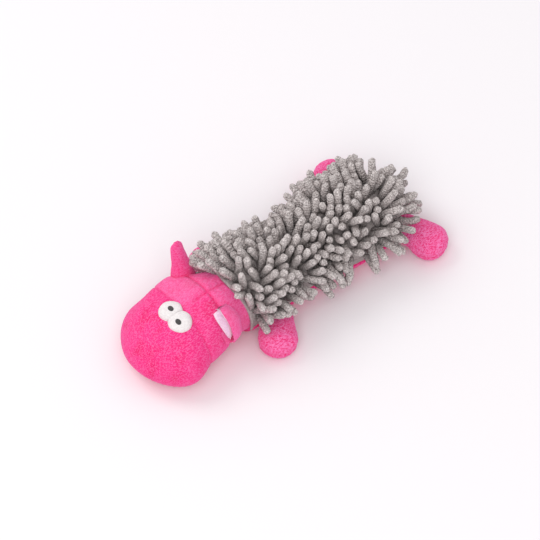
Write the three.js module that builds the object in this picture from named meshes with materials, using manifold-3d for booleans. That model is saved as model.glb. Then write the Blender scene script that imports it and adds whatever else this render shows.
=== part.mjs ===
// A squeaky dog toy: a stuffed plush animal that lies on its belly, with a mop of chenille noodles
// on its back. Its skins are sewn from separate panels, filled with fibre, and a squeaker sits in
// a pocket in the trunk. Millimetres, +Z up. The toy faces -Y and its left side is +X. The origin
// is on the floor, under the middle of the trunk.

import * as THREE from 'three';
import { mergeVertices } from 'three/addons/utils/BufferGeometryUtils.js';
import Module from 'manifold-3d';

const wasm = await Module();
wasm.setup();

// Whole toy
const OVERALL_WIDTH = 115;

// Cloth, seams and clearances
const PLUSH_THICKNESS = 2.0;
const SEAM_GAP = 0.3;
const FILLING_GAP = 0.4;
const FLAT_DEPTH = 0.5;
const CUT_REACH = 300;
const MERGE_DISTANCE = 1e-4;

// Head, measured back from the nose
const HEAD_LENGTH = 86;
const HEAD_WIDTH = 79;
const HEAD_HEIGHT = 51;
const NOSE_DEPTH = 33;
const MUZZLE_SEAM_PLACE = 47;
const EAR_SEAM_PLACE = 70;
const CHIN_SEAM_HEIGHT = 9;

// Neck, a round joint that the head turns in
const NECK_RADIUS = 32;
const NECK_AXIS_HEIGHT = 26;
const NECK_GAP = 0.6;
const NOD_UP = THREE.MathUtils.degToRad(10);
const NECK_SIDES = 64;

// Trunk, measured back from the neck seam
const TRUNK_LENGTH = 158;
const TRUNK_WIDTH = 60;
const TRUNK_HEIGHT = 47;
const RUMP_DEPTH = 28;
const BELLY_SEAM_HEIGHT = 14;

// Noodles of the mop
const NOODLE_LENGTH = 21;
const NOODLE_WIDTH = 5.0;
const NOODLE_PITCH = 6.2;
const NOODLE_GAP = 0.3;
const NOODLE_TIP = 1.6;
const NOODLE_ROOT_DEPTH = 1.4;
const NECK_RIM_WIDTH = 6;
const MOP_ROWS = 28;
const MOP_SLICES = ['mop_front', 'mop_shoulders', 'mop_waist', 'mop_rump'];

// Legs
const LEG_LENGTH = 42;
const LEG_WIDTH = 29;
const LEG_THICKNESS = 21;
const LEG_SEAM_GAP = 0.5;
const FRONT_LEG_PLACE = 27;
const REAR_LEFT_LEG_PLACE = 148;
const REAR_RIGHT_LEG_PLACE = 136;
const FRONT_LEG_TURN = THREE.MathUtils.degToRad(-34);
const REAR_LEFT_LEG_TURN = THREE.MathUtils.degToRad(18);
const REAR_RIGHT_LEG_TURN = THREE.MathUtils.degToRad(-4);
const LEG_LIFT = THREE.MathUtils.degToRad(12);
const LEG_DROP = THREE.MathUtils.degToRad(-25);

// Ears
const EAR_LENGTH = 34;
const EAR_WIDTH = 27;
const EAR_CUP = THREE.MathUtils.degToRad(72);
const EAR_BACK_THICKNESS = 1.6;
const EAR_LINING_THICKNESS = 1.2;
const EAR_LINING_MARGIN = 1.5;
const LEFT_EAR_STAND_OFF = 4;
const RIGHT_EAR_STAND_OFF = -1;
const LEFT_EAR = {
  angle: THREE.MathUtils.degToRad(68),
  standOff: LEFT_EAR_STAND_OFF,
  along: new THREE.Vector3(0.77, 0.05, -0.60),
  facing: new THREE.Vector3(0.1, -0.95, 0.3),
  swing: THREE.MathUtils.degToRad(-70),
};
const RIGHT_EAR = {
  angle: THREE.MathUtils.degToRad(138),
  standOff: RIGHT_EAR_STAND_OFF,
  along: new THREE.Vector3(-0.26, 0.05, 0.96),
  facing: new THREE.Vector3(-0.85, -0.5, -0.2),
  swing: THREE.MathUtils.degToRad(-60),
};

// Eyes
const EYE_PLACE = 39;
const EYE_SPACING = 11;
const EYE_PAD_WIDTH = 17.5;
const EYE_PAD_HEIGHT = 4.5;
const PUPIL_WIDTH = 4.2;
const PUPIL_HEIGHT = 1.0;
const EYE_SIDES = 12;
const EYE_RINGS = 8;

// Squeaker
const SQUEAKER_RADIUS = 16;
const SQUEAKER_BASE_HEIGHT = 9;
const SQUEAKER_BELLOWS_HEIGHT = 17;
const SQUEAKER_WALL = 1.2;
const SQUEAKER_FIT = 0.4;
const SQUEAKER_FLOOR_HEIGHT = 8;
const SQUEAKER_SPLIT_HEIGHT = 16;
const REED_TUBE_RADIUS = 4;
const REED_TUBE_HEIGHT = 7;
const REED_TUBE_WALL = 1.1;
const REED_FLANGE_WIDTH = 1.8;
const REED_THICKNESS = 0.4;
const REED_FIT = 0.15;
const SQUEAKER_SIDES = 20;
const REED_TUBE_SIDES = 12;

// Shares along each form: place, full width, top and bottom
const HEAD_SHARES = [
  [0.00, 0.88, 0.72, 0.12],
  [0.20, 0.98, 0.86, 0.00],
  [0.38, 1.00, 0.93, 0.00],
  [0.56, 0.86, 0.96, 0.03],
  [0.80, 0.76, 1.02, 0.04],
  [1.00, 0.66, 0.98, 0.04],
  [1.30, 0.60, 0.92, 0.04],
];
const TRUNK_SHARES = [
  [-0.20, 0.86, 1.06, 0.04],
  [0.00, 0.87, 1.06, 0.02],
  [0.18, 0.90, 1.02, 0.00],
  [0.42, 0.82, 0.94, 0.00],
  [0.72, 0.98, 1.00, 0.00],
  [1.00, 0.88, 0.86, 0.02],
];
const LEG_SHARES = [
  [0.00, 0.70, 0.80, 0.52],
  [0.30, 0.78, 0.86, 0.34],
  [0.62, 0.98, 1.00, 0.00],
  [1.00, 1.00, 0.98, 0.00],
];
const EAR_WIDTH_SHARES = [
  [0.00, 0.52],
  [0.30, 0.96],
  [0.50, 1.00],
  [0.80, 0.72],
  [1.00, 0.24],
];
const NORMAL_STEP_SHARE = 0.01;
const HEAD_LEVEL_SHARE = 0.42;
const TRUNK_LEVEL_SHARE = 0.3;
const LEG_LEVEL_SHARE = 0.5;
const STRETCH_SHARES = [0.1, 0.3, 0.5, 0.75, 1];
const NOODLE_RAISE_SHARES = [0, 0.3, 0.6, 1, 1.6, 2.4];
const NOODLE_DROOP_SHARE = 0.25;
const NOODLE_LEAN_SHARES = [
  [0.00, -0.50],
  [0.20, -0.28],
  [0.40, -0.22],
  [0.46, 0.18],
  [0.70, 0.12],
  [1.00, 0.10],
];

const NECK_PLACE = -TRUNK_LENGTH / 2;
const HEAD = { start: NECK_PLACE - HEAD_LENGTH, length: HEAD_LENGTH, width: HEAD_WIDTH,
  height: HEAD_HEIGHT, levelShare: HEAD_LEVEL_SHARE, noseDepth: NOSE_DEPTH, tailDepth: 0,
  shares: HEAD_SHARES, sides: 20, rings: 10 };
const TRUNK = { start: NECK_PLACE, length: TRUNK_LENGTH, width: TRUNK_WIDTH,
  height: TRUNK_HEIGHT, levelShare: TRUNK_LEVEL_SHARE, noseDepth: 0, tailDepth: RUMP_DEPTH,
  shares: TRUNK_SHARES, sides: 20, rings: 12 };
const LEG = { start: 0, length: LEG_LENGTH, width: LEG_WIDTH,
  height: LEG_THICKNESS, levelShare: LEG_LEVEL_SHARE, noseDepth: 0, tailDepth: LEG_WIDTH / 2,
  shares: LEG_SHARES, sides: 10, rings: 6 };

// A smooth value of one column of a table of shares at a place along it
function shareAt(rows, column, place) {
  const last = rows.length - 2;
  const next = rows.findIndex((row) => row[0] > place);
  const i = next < 0 ? last : Math.max(next - 1, 0);
  const slope = (k) => {
    const before = rows[Math.max(k - 1, 0)];
    const after = rows[Math.min(k + 1, rows.length - 1)];
    return (after[column] - before[column]) / (after[0] - before[0]);
  };
  const [from, to] = [rows[i], rows[i + 1]];
  const run = to[0] - from[0];
  const t = THREE.MathUtils.clamp((place - from[0]) / run, 0, 1);
  return (2 * t ** 3 - 3 * t ** 2 + 1) * from[column] + (t ** 3 - 2 * t ** 2 + t) * run * slope(i)
    + (3 * t ** 2 - 2 * t ** 3) * to[column] + (t ** 3 - t ** 2) * run * slope(i + 1);
}

// How full a rounded end is at a distance from its tip
function domeShare(distance, depth) {
  if (distance >= depth) return 1;
  const fromFull = 1 - Math.max(distance, 0) / depth;
  return Math.sqrt(Math.max(1 - fromFull ** 2, 0));
}

// The cross-section of a stuffed form at a distance along it, inset by a wall
function sectionAt(form, distance, inset) {
  const place = distance / form.length;
  const nose = form.noseDepth ? domeShare(distance - inset, form.noseDepth) : 1;
  const tail = form.tailDepth ? domeShare(form.length - inset - distance, form.tailDepth) : 1;
  const top = form.height * shareAt(form.shares, 2, place);
  const bottom = form.height * shareAt(form.shares, 3, place) - FLAT_DEPTH;
  const level = bottom + (top - bottom) * form.levelShare;
  const full = nose * tail;
  return {
    level,
    side: ((form.width / 2) * shareAt(form.shares, 1, place) - inset) * full,
    up: (top - level - inset) * full,
    down: (level - bottom - inset) * full,
  };
}

// A point of a stuffed form's skin: angle 0 is its left side and a quarter turn is its top
function skinPoint(form, distance, angle, inset = 0) {
  const { level, side, up, down } = sectionAt(form, distance, inset);
  const rise = Math.sin(angle) > 0 ? up : down;
  return new THREE.Vector3(side * Math.cos(angle), form.start + distance, level + rise * Math.sin(angle));
}

// The skin's outward direction there
function skinNormal(form, distance, angle) {
  const step = NORMAL_STEP_SHARE * form.length;
  const turn = THREE.MathUtils.degToRad(1);
  const along = skinPoint(form, distance + step, angle).sub(skinPoint(form, distance - step, angle));
  const round = skinPoint(form, distance, angle + turn).sub(skinPoint(form, distance, angle - turn));
  return along.cross(round).normalize();
}

// Whether a point is inside a stuffed form grown by a clearance
function isInside(form, point, clearance) {
  const distance = point.y - form.start;
  if (distance < -clearance || distance > form.length + clearance) return false;
  const { level, side, up, down } = sectionAt(form, distance, 0);
  const rise = point.z > level ? up : down;
  return (point.x / (side + clearance)) ** 2 + ((point.z - level) / (rise + clearance)) ** 2 < 1;
}

// A closed mesh through rings of points, with a pole at each end
function closedRings(rings, firstPole, lastPole) {
  const sides = rings[0].length;
  const points = [firstPole, ...rings.flat(), lastPole];
  const at = (ring, k) => 1 + ring * sides + (k % sides);
  const faces = [];
  for (let k = 0; k < sides; k++) {
    faces.push(0, at(0, k), at(0, k + 1));
    for (let ring = 0; ring < rings.length - 1; ring++) {
      faces.push(at(ring, k), at(ring + 1, k), at(ring + 1, k + 1));
      faces.push(at(ring, k), at(ring + 1, k + 1), at(ring, k + 1));
    }
    faces.push(at(rings.length - 1, k), points.length - 1, at(rings.length - 1, k + 1));
  }
  return new THREE.BufferGeometry().setFromPoints(points).setIndex(faces);
}

// The solid inside a stuffed form's skin, from one distance along it to another
function stuffedSolid(form, { inset = 0, from = inset, to = form.length - inset } = {}) {
  const rings = [];
  for (let ring = 1; ring < form.rings; ring++) {
    const distance = from + (to - from) * (1 - Math.cos(Math.PI * ring / form.rings)) / 2;
    const points = [];
    for (let k = 0; k < form.sides; k++) {
      points.push(skinPoint(form, distance, 2 * Math.PI * k / form.sides, inset));
    }
    rings.push(points);
  }
  const pole = (distance) => {
    const { level } = sectionAt(form, distance, inset);
    return new THREE.Vector3(0, form.start + distance, level);
  };
  return toSolid(closedRings(rings, pole(from), pole(to)));
}

function toSolid(geometry) {
  const bare = geometry.clone();
  bare.deleteAttribute('normal');
  bare.deleteAttribute('uv');
  const merged = mergeVertices(bare, MERGE_DISTANCE);
  return new wasm.Manifold(new wasm.Mesh({
    numProp: 3,
    vertProperties: merged.attributes.position.array,
    triVerts: new Uint32Array(merged.index.array),
  }));
}

function toGeometry(solid) {
  const { vertProperties, triVerts } = solid.getMesh();
  const geometry = new THREE.BufferGeometry();
  geometry.setAttribute('position', new THREE.BufferAttribute(new Float32Array(vertProperties), 3));
  geometry.setIndex(new THREE.BufferAttribute(new Uint32Array(triVerts), 1));
  geometry.computeVertexNormals();
  return geometry;
}

// A block that fills space between two planes across one axis
function slab(axis, low, high) {
  const size = new THREE.Vector3(CUT_REACH, CUT_REACH, CUT_REACH).multiplyScalar(2);
  const centre = new THREE.Vector3();
  size[axis] = high - low;
  centre[axis] = (low + high) / 2;
  return toSolid(new THREE.BoxGeometry(size.x, size.y, size.z).translate(centre.x, centre.y, centre.z));
}

const above = (axis, low) => slab(axis, low, low + CUT_REACH);
const below = (axis, high) => slab(axis, high - CUT_REACH, high);
const keepAboveFloor = (solid) => solid.intersect(above('z', 0));

const toy = new THREE.Group();

function addPiece(name, solid, material) {
  const mesh = new THREE.Mesh(toGeometry(solid), material);
  mesh.name = name;
  toy.add(mesh);
}

const cloth = (color, roughness) => new THREE.MeshStandardMaterial({ color, roughness, metalness: 0 });
const pinkPlush = () => cloth(0xff3f8e, 0.9);
const palePlush = () => cloth(0xf8e0f2, 0.9);
const greyChenille = () => cloth(0x9d9693, 0.95);
const whiteFelt = () => cloth(0xf2eded, 0.9);
const blackFelt = () => cloth(0x1c1818, 0.8);
const fibreFilling = () => cloth(0xf4f2ee, 1);
const softPlastic = () => cloth(0xe9ecec, 0.45);
const reedMetal = () => new THREE.MeshStandardMaterial({ color: 0xc9a45c, roughness: 0.35, metalness: 1 });

// The neck: the head ends in a cylinder across the toy and the trunk is hollowed round it
const NECK_TOP = skinPoint(HEAD, HEAD_LENGTH, Math.PI / 2).z - NECK_AXIS_HEIGHT;
const NECK_AXIS = new THREE.Vector3(0, NECK_PLACE - Math.sqrt(NECK_RADIUS ** 2 - NECK_TOP ** 2),
  NECK_AXIS_HEIGHT);

function neckRound(radius) {
  const cylinder = new THREE.CylinderGeometry(radius, radius, CUT_REACH, NECK_SIDES);
  return toSolid(cylinder.rotateZ(Math.PI / 2).translate(NECK_AXIS.x, NECK_AXIS.y, NECK_AXIS.z));
}

const headSide = neckRound(NECK_RADIUS).add(below('y', NECK_AXIS.y));
const trunkFront = neckRound(NECK_RADIUS + NECK_GAP).add(below('y', NECK_AXIS.y));

// The head: four plush panels above, a chin panel below and the filling inside
function addHead() {
  const reach = { to: HEAD_LENGTH + NECK_RADIUS };
  const outside = stuffedSolid(HEAD, reach);
  const inside = stuffedSolid(HEAD, { ...reach, inset: PLUSH_THICKNESS, from: PLUSH_THICKNESS });
  const shell = keepAboveFloor(outside.subtract(inside).intersect(headSide));
  const muzzleSeam = HEAD.start + MUZZLE_SEAM_PLACE;
  const earSeam = HEAD.start + EAR_SEAM_PLACE;
  const half = SEAM_GAP / 2;
  const upper = shell.intersect(above('z', CHIN_SEAM_HEIGHT + half));
  const crown = upper.intersect(above('y', earSeam + half));
  addPiece('muzzle_panel', upper.intersect(below('y', muzzleSeam - half)), pinkPlush());
  addPiece('forehead_panel', upper.intersect(slab('y', muzzleSeam + half, earSeam - half)), pinkPlush());
  addPiece('crown_panel_left', crown.intersect(above('x', half)), pinkPlush());
  addPiece('crown_panel_right', crown.intersect(below('x', -half)), pinkPlush());
  addPiece('chin_panel', shell.intersect(below('z', CHIN_SEAM_HEIGHT - half)), pinkPlush());
  const wall = PLUSH_THICKNESS + FILLING_GAP;
  const filling = stuffedSolid(HEAD, { ...reach, inset: wall, from: wall });
  addPiece('head_filling', filling.intersect(headSide), fibreFilling());
}

// A raised oval pad for each eye, sewn on over the muzzle seam, with a small pupil on it
function addEyes() {
  const skin = stuffedSolid(HEAD, { inset: -SEAM_GAP, from: -SEAM_GAP });
  for (const side of [1, -1]) {
    const { side: halfWidth } = sectionAt(HEAD, EYE_PLACE, 0);
    const angle = Math.acos(side * EYE_SPACING / 2 / halfWidth);
    const turn = new THREE.Quaternion().setFromUnitVectors(
      new THREE.Vector3(0, 0, 1), skinNormal(HEAD, EYE_PLACE, angle));
    const centre = skinPoint(HEAD, EYE_PLACE, angle);
    const dome = (width, height, grow) => new THREE.SphereGeometry(1, EYE_SIDES, EYE_RINGS)
      .rotateX(Math.PI / 2).scale(width / 2 + grow, width / 2 + grow, height + grow);
    const place = (geometry) => geometry.applyQuaternion(turn).translate(centre.x, centre.y, centre.z);
    const inner = side > 0 ? above('x', SEAM_GAP / 2) : below('x', -SEAM_GAP / 2);
    const pad = toSolid(place(dome(EYE_PAD_WIDTH, EYE_PAD_HEIGHT, 0)));
    const grown = toSolid(place(dome(EYE_PAD_WIDTH, EYE_PAD_HEIGHT, SEAM_GAP)));
    const spot = dome(PUPIL_WIDTH, PUPIL_HEIGHT + SEAM_GAP, 0).translate(0, 0, EYE_PAD_HEIGHT);
    const name = side > 0 ? 'left' : 'right';
    addPiece(`eye_pad_${name}`, pad.subtract(skin).intersect(inner), whiteFelt());
    addPiece(`pupil_${name}`, toSolid(place(spot)).subtract(grown), blackFelt());
  }
}

// A cupped leaf of cloth between two offsets from the ear's middle surface, growing along +Y
function leafSolid(low, high, margin) {
  const rows = 5;
  const columns = 4;
  const point = (row, column, offset) => {
    const place = row / rows;
    const width = EAR_WIDTH * shareAt(EAR_WIDTH_SHARES, 1, place) - 2 * margin * place;
    const radius = width / 2 / EAR_CUP;
    const angle = EAR_CUP * (2 * column / columns - 1);
    return new THREE.Vector3((radius - offset) * Math.sin(angle), (EAR_LENGTH - margin) * place,
      radius - (radius - offset) * Math.cos(angle));
  };
  const rings = [];
  for (let row = 0; row <= rows; row++) {
    const ring = [];
    for (let column = 0; column <= columns; column++) ring.push(point(row, column, low));
    for (let column = columns; column >= 0; column--) ring.push(point(row, column, high));
    rings.push(ring);
  }
  const middle = (row) => point(row, columns / 2, (low + high) / 2);
  return toSolid(closedRings(rings, middle(0), middle(rows)));
}

// Where an ear is sewn on, and its frame: across, along and the way its lining faces
function earFrame({ angle, standOff, along, facing, swing }) {
  const root = skinPoint(HEAD, EAR_SEAM_PLACE, angle);
  root.addScaledVector(skinNormal(HEAD, EAR_SEAM_PLACE, angle), standOff);
  const y = along.clone().normalize();
  const x = y.clone().cross(facing).normalize();
  const z = x.clone().cross(y);
  return { root, along: y, swing, matrix: new THREE.Matrix4().makeBasis(x, y, z).setPosition(root) };
}

// The left ear has flopped out over the side of the head, and the right one stands up
const EARS = { left: earFrame(LEFT_EAR), right: earFrame(RIGHT_EAR) };

// A solid less what it would meet when it turns on a hinge along the toy, to each of some angles
function cutForSwing(solid, obstacle, hinge, angles) {
  return angles.reduce((rest, angle) => {
    const turn = new THREE.Matrix4().makeTranslation(hinge.x, hinge.y, hinge.z)
      .multiply(new THREE.Matrix4().makeRotationY(-angle))
      .multiply(new THREE.Matrix4().makeTranslation(-hinge.x, -hinge.y, -hinge.z));
    return rest.subtract(obstacle.transform(turn.toArray()));
  }, solid);
}

function addEars() {
  const skin = stuffedSolid(HEAD, { inset: -SEAM_GAP, to: HEAD_LENGTH + NECK_RADIUS, from: -SEAM_GAP });
  for (const [name, { matrix, root, swing }] of Object.entries(EARS)) {
    const place = matrix.toArray();
    const angles = [0, swing / 2, swing];
    const back = leafSolid(-EAR_BACK_THICKNESS, 0, 0).transform(place);
    const lining = leafSolid(SEAM_GAP, SEAM_GAP + EAR_LINING_THICKNESS, EAR_LINING_MARGIN).transform(place);
    addPiece(`ear_back_${name}`, cutForSwing(back, skin, root, angles), pinkPlush());
    addPiece(`ear_lining_${name}`, cutForSwing(lining, skin, root, angles), palePlush());
  }
}

// Legs, each with its place along the trunk, its turn and the side that it is on
const LEGS = [
  { name: 'front_left_leg', place: FRONT_LEG_PLACE, turn: FRONT_LEG_TURN, side: 1 },
  { name: 'front_right_leg', place: FRONT_LEG_PLACE, turn: FRONT_LEG_TURN, side: -1 },
  { name: 'rear_left_leg', place: REAR_LEFT_LEG_PLACE, turn: REAR_LEFT_LEG_TURN, side: 1 },
  { name: 'rear_right_leg', place: REAR_RIGHT_LEG_PLACE, turn: REAR_RIGHT_LEG_TURN, side: -1 },
];

// A leg's frame puts its tip at half the overall width, and its root under the trunk's side
function legFrame({ place, turn, side }) {
  const reach = (LEG_LENGTH - LEG_WIDTH / 2) * Math.cos(turn) + LEG_WIDTH / 2;
  const seam = skinPoint(TRUNK, place, 0);
  const start = OVERALL_WIDTH / 2 - reach;
  const run = (seam.x - start) * Math.tan(turn);
  const matrix = new THREE.Matrix4().makeRotationZ(side * (turn - Math.PI / 2));
  matrix.setPosition(side * start, seam.y - run, 0);
  const hinge = new THREE.Vector3(side * seam.x, seam.y, BELLY_SEAM_HEIGHT);
  return { matrix, hinge };
}

function addLegs() {
  const trunk = stuffedSolid(TRUNK, { inset: -LEG_SEAM_GAP, from: -NECK_RADIUS });
  for (const leg of LEGS) {
    const { matrix, hinge } = legFrame(leg);
    const angles = [0, -leg.side * LEG_LIFT, -leg.side * LEG_DROP];
    const form = (inset) => stuffedSolid(LEG, { inset, from: 0 }).transform(matrix.toArray());
    const cover = cutForSwing(form(0).subtract(form(PLUSH_THICKNESS)), trunk, hinge, angles);
    const filling = cutForSwing(form(PLUSH_THICKNESS + FILLING_GAP), trunk, hinge, angles);
    addPiece(`${leg.name}_cover`, keepAboveFloor(cover), pinkPlush());
    addPiece(`${leg.name}_filling`, filling, fibreFilling());
  }
}

// Where the rows of noodles lie: evenly spaced along the trunk's upper skin
function rowPlaces() {
  const steps = 400;
  const first = NECK_RIM_WIDTH + NOODLE_WIDTH / 2;
  const last = TRUNK_LENGTH - NOODLE_WIDTH / 2;
  const walked = [0];
  const placeAt = (k) => first + (last - first) * k / steps;
  const pointAt = (k) => skinPoint(TRUNK, placeAt(k), Math.PI / 3);
  for (let k = 1; k <= steps; k++) walked.push(walked[k - 1] + pointAt(k).distanceTo(pointAt(k - 1)));
  const places = [];
  for (let row = 0; row < MOP_ROWS; row++) {
    const goal = walked[steps] * (row + 0.5) / MOP_ROWS;
    places.push(placeAt(walked.findIndex((length) => length >= goal)));
  }
  return places;
}

// The angles of one row's noodles, evenly spaced round the skin above the belly seam
function rowAngles(place, stagger) {
  const steps = 90;
  const { level, up } = sectionAt(TRUNK, place, 0);
  const lowest = BELLY_SEAM_HEIGHT + NOODLE_WIDTH / 2 + SEAM_GAP;
  const first = Math.asin(THREE.MathUtils.clamp((lowest - level) / up, 0, 1));
  const angleAt = (k) => first + (Math.PI - 2 * first) * k / steps;
  const walked = [0];
  const pointAt = (k) => skinPoint(TRUNK, place, angleAt(k));
  for (let k = 1; k <= steps; k++) walked.push(walked[k - 1] + pointAt(k).distanceTo(pointAt(k - 1)));
  const count = Math.max(Math.floor(walked[steps] / NOODLE_PITCH), 1);
  const angles = [];
  for (let k = 0; k < count + (stagger ? 0 : 1); k++) {
    const goal = Math.min(walked[steps] * (k + (stagger ? 0.5 : 0)) / count, walked[steps]);
    angles.push(angleAt(walked.findIndex((length) => length >= goal)));
  }
  return angles;
}

// The least distance between two straight stretches
function stretchDistance(a, b) {
  const da = a.tip.clone().sub(a.root);
  const db = b.tip.clone().sub(b.root);
  const between = a.root.clone().sub(b.root);
  const [aa, bb, ab] = [da.dot(da), db.dot(db), da.dot(db)];
  const [ar, br] = [da.dot(between), db.dot(between)];
  const spread = aa * bb - ab * ab;
  let s = spread > 0 ? THREE.MathUtils.clamp((ab * br - bb * ar) / spread, 0, 1) : 0;
  const t = THREE.MathUtils.clamp((ab * s + br) / bb, 0, 1);
  s = THREE.MathUtils.clamp((ab * t - ar) / aa, 0, 1);
  return a.root.clone().addScaledVector(da, s).distanceTo(b.root.clone().addScaledVector(db, t));
}

// Whether a noodle reaches into a leg, at rest or lifted
function isInLeg({ root, tip }) {
  const axis = new THREE.Vector3(0, 1, 0);
  return LEGS.some((leg) => {
    const { matrix, hinge } = legFrame(leg);
    const back = matrix.clone().invert();
    return STRETCH_SHARES.some((share) => [0, leg.side * LEG_LIFT].some((angle) => {
      const point = root.clone().lerp(tip, share).sub(hinge).applyAxisAngle(axis, angle).add(hinge);
      return isInside(LEG, point.applyMatrix4(back), NOODLE_WIDTH / 2 + NOODLE_GAP);
    }));
  });
}

// The space that each ear sweeps as it flops, and as the head nods up
function earStretches() {
  const across = new THREE.Vector3(1, 0, 0);
  const along = new THREE.Vector3(0, 1, 0);
  return Object.values(EARS).flatMap(({ root, along: ear, swing }) => [0, swing].flatMap((flop) => {
    const tip = root.clone().addScaledVector(ear.clone().applyAxisAngle(along, flop), EAR_LENGTH);
    return [0, -NOD_UP].map((nod) => {
      const turned = (point) => point.clone().sub(NECK_AXIS).applyAxisAngle(across, nod).add(NECK_AXIS);
      return { root: turned(root), tip: turned(tip) };
    });
  }));
}

// Whether a place on the skin is too near the neck's round edge to carry a noodle
function isAtNeck(point) {
  const distance = Math.hypot(point.y - NECK_AXIS.y, point.z - NECK_AXIS.z);
  return distance < NECK_RADIUS + NECK_GAP + NOODLE_WIDTH;
}

// Whether a noodle reaches into the head, at rest or nodded up
function isInHead({ root, tip }) {
  return STRETCH_SHARES.some((share) => [0, NOD_UP].some((nod) => {
    const point = root.clone().lerp(tip, share).sub(NECK_AXIS);
    point.applyAxisAngle(new THREE.Vector3(1, 0, 0), nod).add(NECK_AXIS);
    return isInside(HEAD, point, NOODLE_WIDTH / 2 + NOODLE_GAP);
  }));
}

// The way a noodle lies: out of the skin, and forward or back with its place along the trunk
function noodleLean(place, angle) {
  const along = shareAt(NOODLE_LEAN_SHARES, 1, place / TRUNK_LENGTH);
  return new THREE.Vector3(0, along, -NOODLE_DROOP_SHARE * Math.abs(Math.cos(angle)));
}

// All noodles, each clear of the others, the legs, the ears and the head
function layNoodles() {
  const ears = earStretches();
  const laid = [];
  rowPlaces().forEach((place, row) => {
    for (const angle of rowAngles(place, row % 2 === 1)) {
      const skin = skinPoint(TRUNK, place, angle);
      const normal = skinNormal(TRUNK, place, angle);
      const root = skin.clone().addScaledVector(normal, -NOODLE_ROOT_DEPTH);
      for (const raise of NOODLE_RAISE_SHARES) {
        const direction = normal.clone().add(noodleLean(place, angle));
        direction.z += raise;
        direction.normalize();
        const tip = skin.clone().addScaledVector(direction, NOODLE_LENGTH);
        const stretch = { root, tip };
        const clear = tip.z > NOODLE_WIDTH && !isAtNeck(skin)
          && laid.every((other) => stretchDistance(stretch, other) > NOODLE_WIDTH + NOODLE_GAP)
          && !isInLeg(stretch)
          && ears.every((ear) => stretchDistance(stretch, ear) > EAR_WIDTH / 2)
          && !isInHead(stretch);
        if (clear) {
          laid.push({ ...stretch, direction, normal, row });
          break;
        }
      }
    }
  });
  return laid;
}

// One noodle: a three-sided stem with a blunt point, its foot lying along the skin
function noodleSolid({ root, tip, direction, normal }) {
  const ring = (centre, along) => {
    const across = new THREE.Vector3(0, 1, 0).cross(along).normalize();
    const over = across.clone().cross(along);
    return [0, 1, 2].map((corner) => {
      const angle = 2 * Math.PI * corner / 3;
      return centre.clone().addScaledVector(across, Math.cos(angle) * NOODLE_WIDTH / 2)
        .addScaledVector(over, Math.sin(angle) * NOODLE_WIDTH / 2);
    });
  };
  const shoulder = tip.clone().addScaledVector(direction, -NOODLE_TIP);
  return toSolid(closedRings([ring(root, normal), ring(shoulder, direction)], root, tip));
}

// The trunk: a mop of four slices above, a belly panel below and two halves of filling inside
function addTrunk() {
  const wall = PLUSH_THICKNESS + FILLING_GAP;
  const reach = { from: -NECK_RADIUS };
  const form = (inset) => stuffedSolid(TRUNK, { ...reach, inset, to: TRUNK_LENGTH - inset });
  const shell = keepAboveFloor(form(0).subtract(form(PLUSH_THICKNESS)).subtract(trunkFront));
  const half = SEAM_GAP / 2;
  addPiece('belly_panel', shell.intersect(below('z', BELLY_SEAM_HEIGHT - half)), pinkPlush());

  const backing = shell.intersect(above('z', BELLY_SEAM_HEIGHT + half));
  const places = rowPlaces();
  const noodles = layNoodles();
  const perSlice = MOP_ROWS / MOP_SLICES.length;
  const edge = (row) => (row <= 0 || row >= MOP_ROWS ? Math.sign(row - 1) * CUT_REACH / 2
    : TRUNK.start + (places[row - 1] + places[row]) / 2);
  MOP_SLICES.forEach((name, k) => {
    const rows = [k * perSlice, (k + 1) * perSlice];
    const slice = backing.intersect(slab('y', edge(rows[0]) + half, edge(rows[1]) - half));
    const strands = noodles.filter(({ row }) => row >= rows[0] && row < rows[1]).map(noodleSolid);
    addPiece(name, wasm.Manifold.union([slice, ...strands]), greyChenille());
  });

  const filling = form(wall).subtract(trunkFront);
  const radius = SQUEAKER_RADIUS + SQUEAKER_WALL + 2 * SQUEAKER_FIT;
  const low = SQUEAKER_FLOOR_HEIGHT - FILLING_GAP;
  const high = SQUEAKER_FLOOR_HEIGHT + SQUEAKER_BELLOWS_HEIGHT + FILLING_GAP;
  const pocket = toSolid(new THREE.CylinderGeometry(radius, radius, high - low, SQUEAKER_SIDES)
    .rotateX(Math.PI / 2).translate(0, 0, (low + high) / 2));
  const hollow = filling.subtract(pocket);
  addPiece('trunk_filling_lower', hollow.intersect(below('z', SQUEAKER_SPLIT_HEIGHT - half)), fibreFilling());
  addPiece('trunk_filling_upper', hollow.intersect(above('z', SQUEAKER_SPLIT_HEIGHT + half)), fibreFilling());
}

// A turned piece from an outline of radius and height, standing on a height
function turned(outline, segments, height) {
  const points = outline.map(([radius, rise]) => new THREE.Vector2(radius, rise));
  return toSolid(new THREE.LatheGeometry(points, segments).rotateX(Math.PI / 2).translate(0, 0, height));
}

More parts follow.
